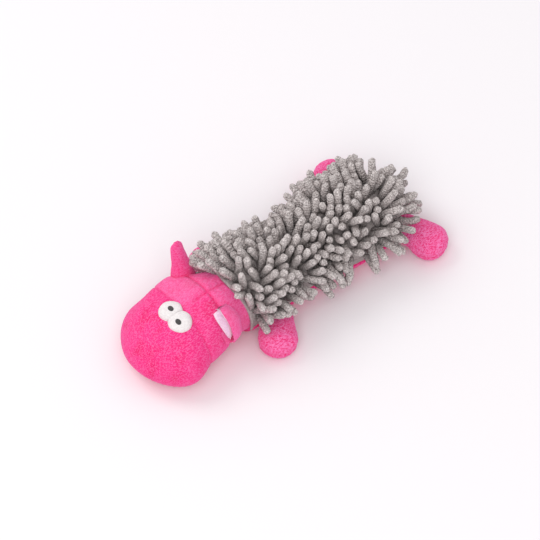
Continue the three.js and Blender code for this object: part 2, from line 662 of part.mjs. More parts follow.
// The squeaker: a stiff cup, bellows that slide down round it, and a reed in a tube in its floor
function addSqueaker() {
  const hole = REED_TUBE_RADIUS + REED_FIT;
  const inner = SQUEAKER_RADIUS - SQUEAKER_WALL;
  const base = [[hole, 0], [SQUEAKER_RADIUS, 0], [SQUEAKER_RADIUS, SQUEAKER_BASE_HEIGHT],
    [inner, SQUEAKER_BASE_HEIGHT], [inner, SQUEAKER_WALL], [hole, SQUEAKER_WALL], [hole, 0]];
  addPiece('squeaker_cup', turned(base, SQUEAKER_SIDES, SQUEAKER_FLOOR_HEIGHT), softPlastic());

  const skirt = SQUEAKER_RADIUS + SQUEAKER_FIT;
  const outer = skirt + SQUEAKER_WALL;
  const shoulder = outer - SQUEAKER_WALL * 2;
  const bottom = SQUEAKER_BASE_HEIGHT - SQUEAKER_WALL;
  const top = SQUEAKER_BELLOWS_HEIGHT;
  const bellows = [[0, top - SQUEAKER_WALL], [shoulder - SQUEAKER_WALL, top - SQUEAKER_WALL],
    [skirt, top - 2 * SQUEAKER_WALL - SQUEAKER_FIT], [skirt, bottom], [outer, bottom],
    [outer, top - 2 * SQUEAKER_WALL], [shoulder, top], [0, top]];
  addPiece('squeaker_bellows', turned(bellows, SQUEAKER_SIDES, SQUEAKER_FLOOR_HEIGHT), softPlastic());

  const bore = REED_TUBE_RADIUS - REED_TUBE_WALL;
  const flange = REED_TUBE_RADIUS + REED_FLANGE_WIDTH;
  const lip = SQUEAKER_WALL + REED_FIT;
  const tube = [[bore, 0], [REED_TUBE_RADIUS, 0], [REED_TUBE_RADIUS, lip], [flange, lip],
    [flange, lip + REED_TUBE_WALL], [REED_TUBE_RADIUS, lip + REED_TUBE_WALL],
    [REED_TUBE_RADIUS, REED_TUBE_HEIGHT], [bore, REED_TUBE_HEIGHT], [bore, 0]];
  addPiece('squeaker_reed_tube', turned(tube, REED_TUBE_SIDES, SQUEAKER_FLOOR_HEIGHT), softPlastic());

  const blade = new THREE.BoxGeometry(2 * (bore - REED_FIT) - REED_THICKNESS, REED_THICKNESS,
    REED_TUBE_HEIGHT - REED_TUBE_WALL);
  addPiece('squeaker_reed', toSolid(blade.translate(0, 0, SQUEAKER_FLOOR_HEIGHT + REED_TUBE_HEIGHT / 2)),
    reedMetal());
}

addHead();
addEyes();
addEars();
addTrunk();
addLegs();
addSqueaker();

export default toy;
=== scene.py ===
# %% [markdown]
# # A squeaky plush dog toy
# The toy is a stuffed plush animal that lies on its belly. Its head, legs, ears and belly are pink
# plush, and its back is a mop of grey chenille noodles. The packed model gives the frame: where each
# piece is, and which body it moves with. This script makes the soft surfaces that go round it.
# Sizes are in metres. The toy faces -Y, its left side is +X, and the floor is at zero.

# %% Load the packed frame
import math

import bpy
import numpy as np
from mathutils import Matrix, Vector, noise


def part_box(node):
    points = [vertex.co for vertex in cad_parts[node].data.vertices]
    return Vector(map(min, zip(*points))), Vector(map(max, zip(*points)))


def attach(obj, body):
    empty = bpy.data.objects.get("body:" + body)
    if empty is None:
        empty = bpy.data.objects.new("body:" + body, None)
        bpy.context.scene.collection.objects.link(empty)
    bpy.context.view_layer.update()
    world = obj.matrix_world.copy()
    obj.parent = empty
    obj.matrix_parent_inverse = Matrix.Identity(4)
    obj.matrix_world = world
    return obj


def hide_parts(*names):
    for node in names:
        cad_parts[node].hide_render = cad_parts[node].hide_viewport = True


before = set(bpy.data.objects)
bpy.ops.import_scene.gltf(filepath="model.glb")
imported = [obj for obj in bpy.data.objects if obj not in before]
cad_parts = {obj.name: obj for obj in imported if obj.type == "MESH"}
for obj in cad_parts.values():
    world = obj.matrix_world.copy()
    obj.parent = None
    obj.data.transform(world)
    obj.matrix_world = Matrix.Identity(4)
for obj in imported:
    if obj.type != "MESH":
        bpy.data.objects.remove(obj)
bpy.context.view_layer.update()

MM = 0.001

# %% [markdown]
# ## The camera
# The photograph looks down on the toy from in front of its left side, from far enough away that
# parallel lines stay parallel. A long lens a few metres off gives that view. The frame's width comes
# from the photograph's scale in pixels to a millimetre.

# %% Place the camera
PHOTO_WIDTH = 540
PIXELS_PER_MM = 1.355
CAMERA_AZIMUTH = math.radians(52)
CAMERA_ELEVATION = math.radians(55)
CAMERA_DISTANCE = 5.0
CAMERA_TARGET = Vector((5.7, -41.3, 38.1)) * MM

camera_data = bpy.data.cameras.new("camera")
camera = bpy.data.objects.new("camera", camera_data)
bpy.context.scene.collection.objects.link(camera)
bpy.context.scene.camera = camera

camera_back = Vector((
    math.sin(CAMERA_AZIMUTH) * math.cos(CAMERA_ELEVATION),
    -math.cos(CAMERA_AZIMUTH) * math.cos(CAMERA_ELEVATION),
    math.sin(CAMERA_ELEVATION),
))
camera.location = CAMERA_TARGET + camera_back * CAMERA_DISTANCE
camera.rotation_euler = camera_back.to_track_quat("Z", "Y").to_euler()
frame_width = PHOTO_WIDTH / PIXELS_PER_MM * MM
camera_data.lens = camera_data.sensor_width * CAMERA_DISTANCE / frame_width
camera_data.clip_end = 2 * CAMERA_DISTANCE
print("lens in mm", round(camera_data.lens, 1))

# %% [markdown]
# ## Stuffed forms
# A stuffed body, head or leg swells and tapers, and each cross-section of it is a rounded oval. So a
# form is a table of shares along its length: how wide it is, and where its top and bottom are. A
# smooth curve through the shares gives every section between them, and a quarter circle rounds its
# ends. The same few numbers then serve the cloth, the filling inside it and whatever rests on it.

# %% Sections of a stuffed form
FLAT_DEPTH = 0.5 * MM
CORE_SHARE = 0.05


def share_at(rows, column, place):
    """A smooth value of one column of a table of shares, at places along it"""
    places, values = rows[:, 0], rows[:, column]
    slopes = np.gradient(values)
    slopes[1:-1] = (values[2:] - values[:-2]) / (places[2:] - places[:-2])
    slopes[0] = (values[1] - values[0]) / (places[1] - places[0])
    slopes[-1] = (values[-1] - values[-2]) / (places[-1] - places[-2])
    i = np.clip(np.searchsorted(places, place, side="right") - 1, 0, len(places) - 2)
    run = places[i + 1] - places[i]
    t = np.clip((place - places[i]) / run, 0, 1)
    start = (2 * t**3 - 3 * t**2 + 1) * values[i] + (t**3 - 2 * t**2 + t) * run * slopes[i]
    return start + (3 * t**2 - 2 * t**3) * values[i + 1] + (t**3 - t**2) * run * slopes[i + 1]


def dome_share(distance, depth):
    """How full a rounded end is at distances from its tip"""
    if not depth:
        return np.ones_like(distance)
    return np.sqrt(np.clip(1 - np.clip(1 - distance / depth, 0, 1) ** 2, 0, 1))


class Form:
    """A stuffed form that lies along Y, from its start to its length"""

    def __init__(self, start, length, width, height, level_share, nose, tail, shares):
        self.start, self.length, self.width, self.height = start, length, width, height
        self.level_share, self.nose, self.tail = level_share, nose, tail
        self.shares = np.array(shares)

    def section(self, distance, inset=0.0):
        """The level of the oval's middle, and its reach to the side, up and down"""
        place = distance / self.length
        full = dome_share(distance - inset, self.nose)
        full = full * dome_share(self.length - inset - distance, self.tail)
        top = self.height * share_at(self.shares, 2, place)
        bottom = self.height * share_at(self.shares, 3, place) - FLAT_DEPTH
        level = bottom + (top - bottom) * self.level_share
        side = (self.width / 2 * share_at(self.shares, 1, place) - inset) * full
        return level, side, (top - level - inset) * full, (level - bottom - inset) * full

    def point(self, distance, angle, inset=0.0):
        """Points of the skin: angle 0 is the left side, and a quarter turn is the top"""
        distance, angle = np.broadcast_arrays(
            np.asarray(distance, float), np.asarray(angle, float),
        )
        level, side, up, down = self.section(distance, inset)
        rise = np.where(np.sin(angle) > 0, up, down)
        height = level + rise * np.sin(angle)
        return np.stack([side * np.cos(angle), self.start + distance, height], -1)

    def normal(self, distance, angle):
        """The skin's outward direction there"""
        step, turn = self.length / 100, math.radians(1)
        along = self.point(distance + step, angle) - self.point(distance - step, angle)
        around = self.point(distance, angle + turn) - self.point(distance, angle - turn)
        cross = np.cross(along, around)
        return cross / np.linalg.norm(cross, axis=-1, keepdims=True)

    def push_out(self, points, clearance):
        """The points, with those inside the form moved out through its sides"""
        distance = points[..., 1] - self.start
        level, side, up, down = self.section(np.clip(distance, 0, self.length))
        z = points[..., 2] - level
        rise = np.where(z > 0, up, down)
        deep = np.hypot(points[..., 0] / (side + clearance), z / (rise + clearance))
        inside = (distance > 0) & (distance < self.length) & (deep < 1) & (deep > CORE_SHARE)
        grow = np.where(inside, 1 / np.maximum(deep, CORE_SHARE), 1)
        return np.stack([points[..., 0] * grow, points[..., 1], level + z * grow], -1)


print("shares of a rounded end", np.round(dome_share(np.linspace(0, 1, 5), 1), 2))
# %% [markdown]
# ## The shares of this toy
# The head is widest at its cheeks and narrows to the neck, the trunk has a waist, and a leg is a pad
# on a narrower root. Each was measured on the photograph at a few places along it. A row here holds
# one such place: how far along it is, how wide the form is there, and where its top and bottom are.
# The head turns about an axis inside the neck, so the faces at the neck are rounds about that axis.

# %% The head, the trunk and a leg
TRUNK_LENGTH = 158 * MM
NECK_SEAM = -TRUNK_LENGTH / 2
HEAD_LENGTH = 86 * MM
LEG_LENGTH, LEG_WIDTH = 42 * MM, 29 * MM

HEAD = Form(NECK_SEAM - HEAD_LENGTH, HEAD_LENGTH, width=79 * MM, height=51 * MM,
            level_share=0.42, nose=33 * MM, tail=0, shares=[
    [0.00, 0.88, 0.72, 0.12],
    [0.20, 0.98, 0.86, 0.00],
    [0.38, 1.00, 0.93, 0.00],
    [0.56, 0.86, 0.96, 0.03],
    [0.80, 0.76, 1.02, 0.04],
    [1.00, 0.66, 0.98, 0.04],
    [1.30, 0.60, 0.92, 0.04],
])
TRUNK = Form(NECK_SEAM, TRUNK_LENGTH, width=60 * MM, height=47 * MM,
             level_share=0.3, nose=0, tail=28 * MM, shares=[
    [-0.20, 0.86, 1.06, 0.04],
    [0.00, 0.87, 1.06, 0.02],
    [0.18, 0.90, 1.02, 0.00],
    [0.42, 0.82, 0.94, 0.00],
    [0.72, 0.98, 1.00, 0.00],
    [1.00, 0.88, 0.86, 0.02],
])
LEG = Form(0, LEG_LENGTH, width=LEG_WIDTH, height=21 * MM,
           level_share=0.5, nose=0, tail=12 * MM, shares=[
    [0.00, 0.74, 0.84, 0.48],
    [0.30, 0.86, 0.92, 0.28],
    [0.62, 0.99, 1.00, 0.00],
    [1.00, 0.96, 0.96, 0.00],
])

NECK_RADIUS = 32 * MM
NECK_HEIGHT = 26 * MM
MEET_ROUNDS = 20
neck_top = HEAD.point(HEAD_LENGTH, math.pi / 2)[2] - NECK_HEIGHT
neck_axis = np.array([0, NECK_SEAM - math.sqrt(NECK_RADIUS**2 - neck_top**2), NECK_HEIGHT])
print("neck axis in mm", np.round(neck_axis / MM, 1))


def neck_face(height, radius):
    """Where a round about the neck's axis is along Y, at a height"""
    return neck_axis[1] + np.sqrt(np.maximum(radius**2 - (height - neck_axis[2]) ** 2, 0))


def meet_neck(form, angle, radius, inset):
    """How far along a form its skin meets the neck's round, at each angle"""
    distance = np.full(angle.shape, NECK_SEAM - form.start)
    for _ in range(MEET_ROUNDS):
        distance = neck_face(form.point(distance, angle, inset)[..., 2], radius) - form.start
    return distance


# %% [markdown]
# ## Meshes from rings
# Each form becomes a grid of rings, closed by a pole at each end. The vertices are then moved in and
# out along the skin's own direction: seams pull in, the cloth between them stays full, and small
# puckers run across each seam. That is quick and gives the same result each time, where a cloth
# simulation would have to be led to the same places.

# %% Mesh helpers
def new_object(name, points, faces):
    mesh = bpy.data.meshes.new(name)
    mesh.from_pydata([tuple(p) for p in points], [], faces)
    mesh.validate()
    mesh.shade_smooth()
    made = bpy.data.objects.new(name, mesh)
    bpy.context.scene.collection.objects.link(made)
    return made


def ring_faces(rings, sides):
    """Faces of a closed skin: a first pole, rings of points, and a last pole"""
    def at(ring, k):
        return 1 + ring * sides + k % sides

    last = 1 + rings * sides
    faces = [(0, at(0, k), at(0, k + 1)) for k in range(sides)]
    for ring in range(rings - 1):
        faces += [
            (at(ring, k), at(ring + 1, k), at(ring + 1, k + 1), at(ring, k + 1)) for k in range(sides)
        ]
    return faces + [(at(rings - 1, k), last, at(rings - 1, k + 1)) for k in range(sides)]


print("faces of a small skin", len(ring_faces(3, 8)))

# %% [markdown]
# ## Closed skins
# A skin's rings lie closer together at its rounded ends, where it curves most. At the neck it ends in
# a cap: smaller and smaller copies of its edge, laid on the round that the head turns on.

# %% Closed skins
CAP_RINGS = 8


def closed_skin(name, form, rings, sides, neck_radius=0.0, inset=0.0):
    """A form's closed skin. The head ends, and the trunk starts, at a round of the neck's radius"""
    angle = 2 * np.pi * np.arange(sides) / sides
    first, last = np.full(sides, inset), np.full(sides, form.length - inset)
    ends_at_neck = neck_radius and form.start < neck_axis[1]
    if ends_at_neck:
        last = meet_neck(form, angle, neck_radius, inset)
    elif neck_radius:
        first = meet_neck(form, angle, neck_radius, inset)
    t = np.arange(1, rings + 1)[:, None] / (rings + 1)
    if ends_at_neck:
        steps = (1 - np.cos(np.pi / 2 * t)) / (1 - math.cos(np.pi / 2 * rings / (rings + 1)))
    elif neck_radius:
        t -= t[0]
        steps = np.sin(np.pi / 2 * t)
    else:
        steps = (1 - np.cos(np.pi * t)) / 2
    grid = form.point(first + (last - first) * steps, angle[None, :], inset)
    if neck_radius:
        edge = grid[-1] if ends_at_neck else grid[0]
        shrink = (1 - np.arange(1, CAP_RINGS) / CAP_RINGS)[:, None, None]
        middle = edge.mean(0)
        cap = middle + (edge - middle) * shrink
        cap[..., 1] = neck_face(cap[..., 2], neck_radius)
        grid = np.concatenate([grid, cap] if ends_at_neck else [cap[::-1], grid])
    tips = [grid[0].mean(0), grid[-1].mean(0)]
    tips[0][1] = form.start + inset
    tips[1][1] = form.start + form.length - inset
    if neck_radius:
        neck_tip = tips[1] if ends_at_neck else tips[0]
        neck_tip[1] = neck_face(neck_tip[2], neck_radius)
    points = np.concatenate([tips[:1], grid.reshape(-1, 3), tips[1:]])
    return new_object(name, points, ring_faces(len(grid), sides))


print("rings of a cap", CAP_RINGS)

# %% [markdown]
# ## Points and noise
# Arrays of all the vertices are quick to work on, so points and normals are read and written whole.
# Smooth noise gives the lumps of the filling, a bell curve gives what happens near a seam, and a
# smooth step fades one thing into another.

# %% Points, noise and fades
def read_points(made):
    points = np.zeros(len(made.data.vertices) * 3)
    made.data.vertices.foreach_get("co", points)
    return points.reshape(-1, 3)


def read_normals(made):
    normals = np.zeros(len(made.data.vertices) * 3)
    made.data.vertices.foreach_get("normal", normals)
    return normals.reshape(-1, 3)


def write_points(made, points):
    made.data.vertices.foreach_set("co", points.ravel())
    made.data.update()


def lumps(points, size, seed):
    """Smooth noise between about -1 and 1, with features of a size"""
    offset = Vector((seed * 7.3, seed * 3.1, seed * 5.7))
    return np.array([noise.noise(Vector(p) / size + offset) for p in points])


def near(distance, width):
    return np.exp(-((distance / width) ** 2))


def smooth_step(value, low, high):
    t = np.clip((value - low) / (high - low), 0, 1)
    return t * t * (3 - 2 * t)


def store(made, name, values):
    """Keeps one number for each vertex, for a material to read"""
    kept = made.data.attributes.new(name, "FLOAT", "POINT")
    kept.data.foreach_set("value", np.asarray(values, np.float32))


print("half way up a fade", smooth_step(0.5, 0, 1))
# %% [markdown]
# ## Seams
# The thread of a seam pulls two panels in. That leaves a narrow groove, a wider valley on both sides
# of it, and small puckers across it where the cloth is gathered. A seam is given here as three values
# for each vertex: how far it is from the seam, where it is along it, and how strong the pull is. How
# deep each vertex lies in a seam is kept for the materials as painted shade, and each vertex's share
# of painted sheen, a paler pile colour for the light that falls on it, is kept with it.

# %% Sew a skin along its seams
SEAM_DEPTH = 1.3 * MM
SEAM_WIDTH = 1.1 * MM
PILLOW_DEPTH = 0.8 * MM
PILLOW_WIDTH = 5.5 * MM
PUCKER_DEPTH = 0.3 * MM
PUCKER_PITCH = 5.5 * MM
PUCKER_REACH = 4.5 * MM
PUCKER_WOBBLE = 1.5


def sew(made, seams, puff, lump_depth, lump_size, seed, nap=0.0):
    """Puffs a skin out and pulls it in at seams, each a distance, a place along it and a strength"""
    points, normals = read_points(made), read_normals(made)
    move = puff + lump_depth * lumps(points, lump_size, seed)
    groove, valley = np.zeros(len(points)), np.zeros(len(points))
    for distance, along, strength in seams:
        groove = np.maximum(groove, strength * near(distance, SEAM_WIDTH))
        valley = np.maximum(valley, strength * near(distance, PILLOW_WIDTH))
        wobble = PUCKER_WOBBLE * lumps(points, PUCKER_PITCH, seed + 1)
        pucker = np.sin(2 * np.pi * along / PUCKER_PITCH + wobble) * near(distance, PUCKER_REACH)
        move += strength * PUCKER_DEPTH * pucker * smooth_step(distance, 0, 2 * SEAM_WIDTH)
    points = points + normals * (move - SEAM_DEPTH * groove - PILLOW_DEPTH * valley)[:, None]
    points[:, 2] = np.maximum(points[:, 2], 0)
    write_points(made, points)
    # The groove's depth is kept for painted seam shade: a darker colour where shade falls in the crease
    store(made, "crease", groove)
    # Each vertex's share of painted sheen: a paler pile colour that stands in for the light falling there
    store(made, "nap", np.broadcast_to(nap, len(points)))


print("seam depth in mm", round(SEAM_DEPTH / MM, 1))

# %% [markdown]
# ## The head
# The head is sewn from a round muzzle, a forehead band, two crown panels and a chin. The seams show
# as soft creases: one runs across the head behind the eyes, one from ear to ear, and one down the
# middle from the neck to a short dart in the forehead. At the neck the skin turns in and follows a
# round end, which the trunk's front fits, so that the joint stays covered as the head nods.

# %% Head skin
MUZZLE_SEAM = HEAD.start + 47 * MM
EAR_SEAM = HEAD.start + 70 * MM
DART_END = HEAD.start + 56 * MM
CHIN_SEAM_HEIGHT = 9 * MM
HEAD_RADIUS = 30 * MM
# The crown's share of painted sheen
CROWN_PAINTED_SHEEN = 0.9
MUZZLE_PULL, EAR_PULL, CROWN_PULL, CHIN_PULL, NECK_PULL = 0.55, 0.9, 0.9, 0.7, 0.4


def neck_distance(points):
    return np.hypot(points[:, 1] - neck_axis[1], points[:, 2] - neck_axis[2])


# Each swell: its middle and its reach in millimetres, and how far it stands out or sinks in
HEAD_SWELLS = (
    ((-31, -104, 33), 15, 7.5),
    ((-31, -120, 33), 9, 3.6),
    ((-36, -131, 26), 13, -1.8),
    ((28, -86, 20), 12, -1.2),
    ((-27, -99, 38), 4, -2.0),
    ((0, -150, 40), 16, 0.8),
)

head_cloth = closed_skin("head_cloth", HEAD, rings=190, sides=250, neck_radius=NECK_RADIUS)
points = read_points(head_cloth)
neck_edge = np.abs(neck_distance(points) - NECK_RADIUS) + np.where(points[:, 1] < neck_axis[1], 1, 0)
upper = smooth_step(points[:, 2], CHIN_SEAM_HEIGHT - 1 * MM, CHIN_SEAM_HEIGHT + 3 * MM)
across = np.arctan2(points[:, 2] - NECK_HEIGHT, points[:, 0]) * HEAD_RADIUS
swell = sum(
    height * MM * near(np.linalg.norm(points - np.array(middle) * MM, axis=1), reach * MM)
    for middle, reach, height in HEAD_SWELLS
)
# Painted sheen: none on the muzzle, more on the forehead's right side, most on the crown, for the light
# there
forehead_nap = 0.2 + 0.8 * smooth_step(-points[:, 0], -4 * MM, 8 * MM)
head_nap = np.where(points[:, 1] < EAR_SEAM, forehead_nap, CROWN_PAINTED_SHEEN)
head_nap = np.where(points[:, 1] < MUZZLE_SEAM, 0, head_nap)
dart = smooth_step(points[:, 1], DART_END - 3 * MM, DART_END + 4 * MM)
sew(head_cloth, [
    (np.abs(points[:, 1] - MUZZLE_SEAM), across, MUZZLE_PULL * upper),
    (np.abs(points[:, 1] - EAR_SEAM), across, EAR_PULL * upper),
    (np.abs(points[:, 0]), points[:, 1], CROWN_PULL * upper * dart),
    (np.abs(points[:, 2] - CHIN_SEAM_HEIGHT), points[:, 1] + points[:, 0], CHIN_PULL * np.ones(len(points))),
    (neck_edge, across, NECK_PULL * np.ones(len(points))),
], puff=0.5 * MM + swell * upper, lump_depth=0.6 * MM, lump_size=17 * MM, seed=1, nap=head_nap * upper)
print("head faces", len(head_cloth.data.polygons))

# %% [markdown]
# ## The trunk
# The belly is one pink panel that runs from the neck to the rump. It is a full closed form, a little
# smaller above the belly seam, so that the grey backing of the mop fits over it.

# %% Belly
BELLY_SEAM_HEIGHT = 14 * MM
BACKING_THICKNESS = 1.6 * MM
NECK_GAP = 0.6 * MM
LAP_DEPTH = 2.2 * MM


def belly_seam(points):
    return np.abs(points[:, 2] - BELLY_SEAM_HEIGHT), points[:, 1], np.ones(len(points))


belly_cloth = closed_skin(
    "belly_cloth", TRUNK, rings=150, sides=120, neck_radius=NECK_RADIUS + NECK_GAP,
)
points = read_points(belly_cloth)
under_backing = smooth_step(points[:, 2], BELLY_SEAM_HEIGHT, BELLY_SEAM_HEIGHT + 3 * MM)
under_backing *= neck_distance(points) > NECK_RADIUS + 2 * MM
points -= read_normals(belly_cloth) * (under_backing * LAP_DEPTH)[:, None]
write_points(belly_cloth, points)
sew(
    belly_cloth, [belly_seam(points)],
    puff=0.4 * MM, lump_depth=0.5 * MM, lump_size=16 * MM, seed=3,
)
print("belly faces", len(belly_cloth.data.polygons))

# %% [markdown]
# ## The mop's backing
# The backing is a curved sheet with a thickness. It covers the trunk from one belly seam over the top
# to the other, and its front edge is a bare rim that is folded over at the neck. That front edge follows
# the neck, so the rings are laid between that edge and the rump. Where the edge is depends on the
# height that it is reached at, so a few rounds of laying the rings find both.

# %% Backing
RINGS, SIDES = 150, 90
EDGE_ROUNDS = 12
BACK_INSET = 0.02 * MM
SEAM_MARGIN = 0.2 * MM
LEAST_RISE = 0.1 * MM
RIM_SHARE, RIM_LAP, RIM_WIDTH = 0.45, 1.2 * MM, 6 * MM
RIM_FOLD = 1.8 * MM


def rim_distance(height):
    """How far along the trunk the backing's front edge is, at a height"""
    return RIM_SHARE * (neck_face(height, NECK_RADIUS) - NECK_SEAM) - RIM_LAP


lie = np.sin(np.pi / 2 * np.arange(RINGS + 1) / RINGS)[:, None]
turn = np.arange(SIDES + 1)[None, :] / SIDES
distance = (TRUNK_LENGTH - BACK_INSET) * lie
for _ in range(EDGE_ROUNDS):
    level, side, up, down = TRUNK.section(distance)
    low_rise = (BELLY_SEAM_HEIGHT + SEAM_MARGIN - level) / np.maximum(up, LEAST_RISE)
    low_angle = np.arcsin(np.clip(low_rise, 0, 0.98))
    angle = low_angle + (np.pi - 2 * low_angle) * turn
    edge = rim_distance(TRUNK.point(distance[:1], angle[:1])[..., 2])
    distance = edge + (TRUNK_LENGTH - BACK_INSET - edge) * lie
points = TRUNK.point(distance, angle).reshape(-1, 3)
corners = [ring * (SIDES + 1) + k for ring in range(RINGS) for k in range(SIDES)]
faces = [(corner, corner + SIDES + 1, corner + SIDES + 2, corner + 1) for corner in corners]
backing = new_object("mop_backing", points, faces)
rim = 1 - smooth_step(points[:, 1] - np.tile(points[:SIDES + 1, 1], RINGS + 1), 0, RIM_WIDTH)
sew(
    backing, [belly_seam(points)],
    puff=0.6 * MM + RIM_FOLD * rim, lump_depth=0.3 * MM, lump_size=14 * MM, seed=4,
)
solidify = backing.modifiers.new("thickness", "SOLIDIFY")
solidify.thickness = BACKING_THICKNESS
solidify.offset = -1
print("backing faces", len(faces))

# %% [markdown]
# ## The legs
# Each leg is a flat round pad on a narrower root. Its upper and lower halves meet in a seam round its
# edge. A leg is made in a frame of its own, along +Y from its root, and then set in place. Where it
# would run into the trunk it is pressed onto the trunk's side, where it is sewn.

# %% Leg frames and skins
OVERALL_WIDTH = 115 * MM
LEG_EDGE_HEIGHT = 9 * MM
# Each leg: how far along the trunk its seam is, how far it turns back, and its side
LEGS = {
    "front_left_leg": (27 * MM, math.radians(-34), 1),
    "front_right_leg": (27 * MM, math.radians(-34), -1),
    "rear_left_leg": (150 * MM, math.radians(20), 1),
    "rear_right_leg": (136 * MM, math.radians(-4), -1),
}
LEG_LIFTS = {"rear_right_leg": 0.22, "rear_left_leg": 0.03}
# The legs get a large share of painted sheen, a paler pile colour for the light on them
LEG_PAINTED_SHEEN, LEG_PULL = 0.9, 0.7
LEG_PRESS = 1.5 * MM


def leg_matrix(place, turn, side):
    reach = (LEG_LENGTH - LEG_WIDTH / 2) * math.cos(turn) + LEG_WIDTH / 2
    seam = TRUNK.point(place, 0)
    start = OVERALL_WIDTH / 2 - reach
    run = (seam[0] - start) * math.tan(turn)
    root = Matrix.Translation((side * start, seam[1] - run, 0))
    return np.array(root @ Matrix.Rotation(side * (turn - math.pi / 2), 4, "Z"))


def to_frame(matrix, points):
    return points @ matrix[:3, :3].T + matrix[:3, 3]


def lift_leg(name, points):
    """A leg's points, higher the further they are from its root"""
    points[:, 2] += LEG_LIFTS.get(name, 0) * points[:, 1]
    return points


leg_cloths = {}
for k, (name, values) in enumerate(LEGS.items()):
    leg = closed_skin(f"{name}_cloth", LEG, rings=90, sides=110)
    points = read_points(leg)
    round_edge = np.arctan2(points[:, 0], points[:, 1] - LEG_LENGTH + LEG_WIDTH / 2) * LEG_WIDTH / 2
    seam = np.abs(points[:, 2] - LEG_EDGE_HEIGHT), round_edge, LEG_PULL * np.ones(len(points))
    sew(leg, [seam], puff=0.6 * MM, lump_depth=0.6 * MM, lump_size=11 * MM, seed=10 + k, nap=LEG_PAINTED_SHEEN)
    points = lift_leg(name, read_points(leg))
    placed = TRUNK.push_out(to_frame(leg_matrix(*values), points), -LEG_PRESS)
    write_points(leg, placed)
    leg_cloths[name] = leg
print("legs", list(leg_cloths))

# %% [markdown]
# ## The ears
# An ear is a cupped leaf: a pink back, and a pale lining that is a little smaller. It is rolled round
# its own length, wide in the middle and drawn in at its root and tip. Rows and columns of points
# give one side of the leaf, and an offset gives the other, so that each layer is a closed form.

# %% Ear leaves
FLOPPED_SHARES = [[0.00, 0.60], [0.22, 0.92], [0.50, 1.00], [0.80, 0.72], [1.00, 0.34]]
FLOPPED_LINING_SHARES = [[0.00, 0.44], [0.22, 0.92], [0.50, 0.82], [0.80, 0.44], [1.00, 0.10]]
STANDING_SHARES = [[0.00, 1.06], [0.25, 0.86], [0.50, 0.62], [0.80, 0.46], [1.00, 0.26]]
STANDING_LINING_SHARES = [[0.00, 0.84], [0.25, 0.66], [0.50, 0.46], [0.80, 0.32], [1.00, 0.14]]


class Ear:
    """A cupped leaf: its root, where it points, what its lining faces, its size and how it bulges"""

    def __init__(self, root, along, facing, length, width, cup, bulge, shares, lining_shares):
        self.bulge = bulge
        self.shares, self.lining_shares = np.array(shares), np.array(lining_shares)
        self.length, self.width, self.cup = length * MM, width * MM, math.radians(cup)
        y = Vector(along).normalized()
        x = y.cross(Vector(facing)).normalized()
        self.matrix = np.array(Matrix((x, y, x.cross(y))).transposed().to_4x4())
        self.matrix[:3, 3] = np.array(root) * MM


EARS = {
    "left": Ear(
        (15, -98.2, 48.5), (0.70, -0.02, -0.71), (0.01, -0.98, 0.19),
        length=28, width=42, cup=98, bulge=0.75,
        shares=FLOPPED_SHARES, lining_shares=FLOPPED_LINING_SHARES,
    ),
    "right": Ear(
        (-25, -95, 37), (-0.38, 0.02, 0.92), (-0.80, 0.10, -0.40),
        length=36.5, width=24, cup=80, bulge=0,
        shares=STANDING_SHARES, lining_shares=STANDING_LINING_SHARES,
    ),
}
print("ear lengths in mm", [round(ear.length / MM, 1) for ear in EARS.values()])

# %% [markdown]
# ## The layers of an ear
# Each layer is a leaf between two offsets from the ear's middle surface. The lining's margin leaves
# the pink edge bare round it. Near its root a leaf sinks into the head, where it is sewn in, and
# further out it is kept a little off the head's skin.

# %% Ear layers
EAR_BACK_THICKNESS, EAR_LINING_THICKNESS = 2.0 * MM, 1.2 * MM
LAYER_GAP = 0.1 * MM
EAR_MARGIN = 3.5 * MM
EAR_CLEARANCE, EAR_SINK = 2.4 * MM, 2.5 * MM
ROOT_ROUND = 0.16
LEAST_RADIUS = 0.1 * MM
# Each ear's share of painted sheen
EAR_PAINTED_SHEEN = {"left": 1.0, "right": 0.5}


def leaf(name, ear, shares, low, high, margin, rows=40, columns=36):
    """A closed cupped layer between two offsets from the ear's middle surface"""
    place = np.sin(np.pi / 2 * np.linspace(0, 1, rows))
    column = np.sin(np.pi / 2 * np.linspace(-1, 1, columns))
    tip = np.sqrt(np.clip(1 - smooth_step(place, 0.80, 1.0) ** 2, 0.02, 1))
    root = dome_share(place, ROOT_ROUND) if margin else 1
    radius = ear.width * share_at(shares, 1, place) * tip * root / 2 / ear.cup
    radius = np.maximum(radius, LEAST_RADIUS)[:, None]
    angle = ear.cup * column[None, :]
    middle = (low + high) / 2
    edge = np.sqrt(np.clip(1 - column**2, 0, 1)) ** 0.5
    sides = []
    for offset in (low, high):
        lift = middle + (offset - middle) * edge[None, :]
        x = (radius - lift) * np.sin(angle)
        z = radius - (radius - lift) * np.cos(angle) - ear.bulge * radius * (1 - math.cos(ear.cup))
        y = np.broadcast_to(((ear.length - margin) * place)[:, None], x.shape)
        sides.append(np.stack([x, y, z], -1))
    rings = np.concatenate([sides[0], sides[1][:, ::-1]], 1)
    poles = rings[[0, -1]].mean(1)
    points = np.concatenate([poles[:1], rings.reshape(-1, 3), poles[1:]])
    sunk = EAR_SINK * (1 - smooth_step(place, 0.02, 0.2))
    off_skin = EAR_CLEARANCE * smooth_step(place, 0.2, 0.7) - sunk
    off_skin = np.concatenate([off_skin[:1], np.repeat(off_skin, 2 * columns), off_skin[-1:]])
    points = HEAD.push_out(to_frame(ear.matrix, points), middle + off_skin)
    return new_object(name, points, ring_faces(rows, 2 * columns))


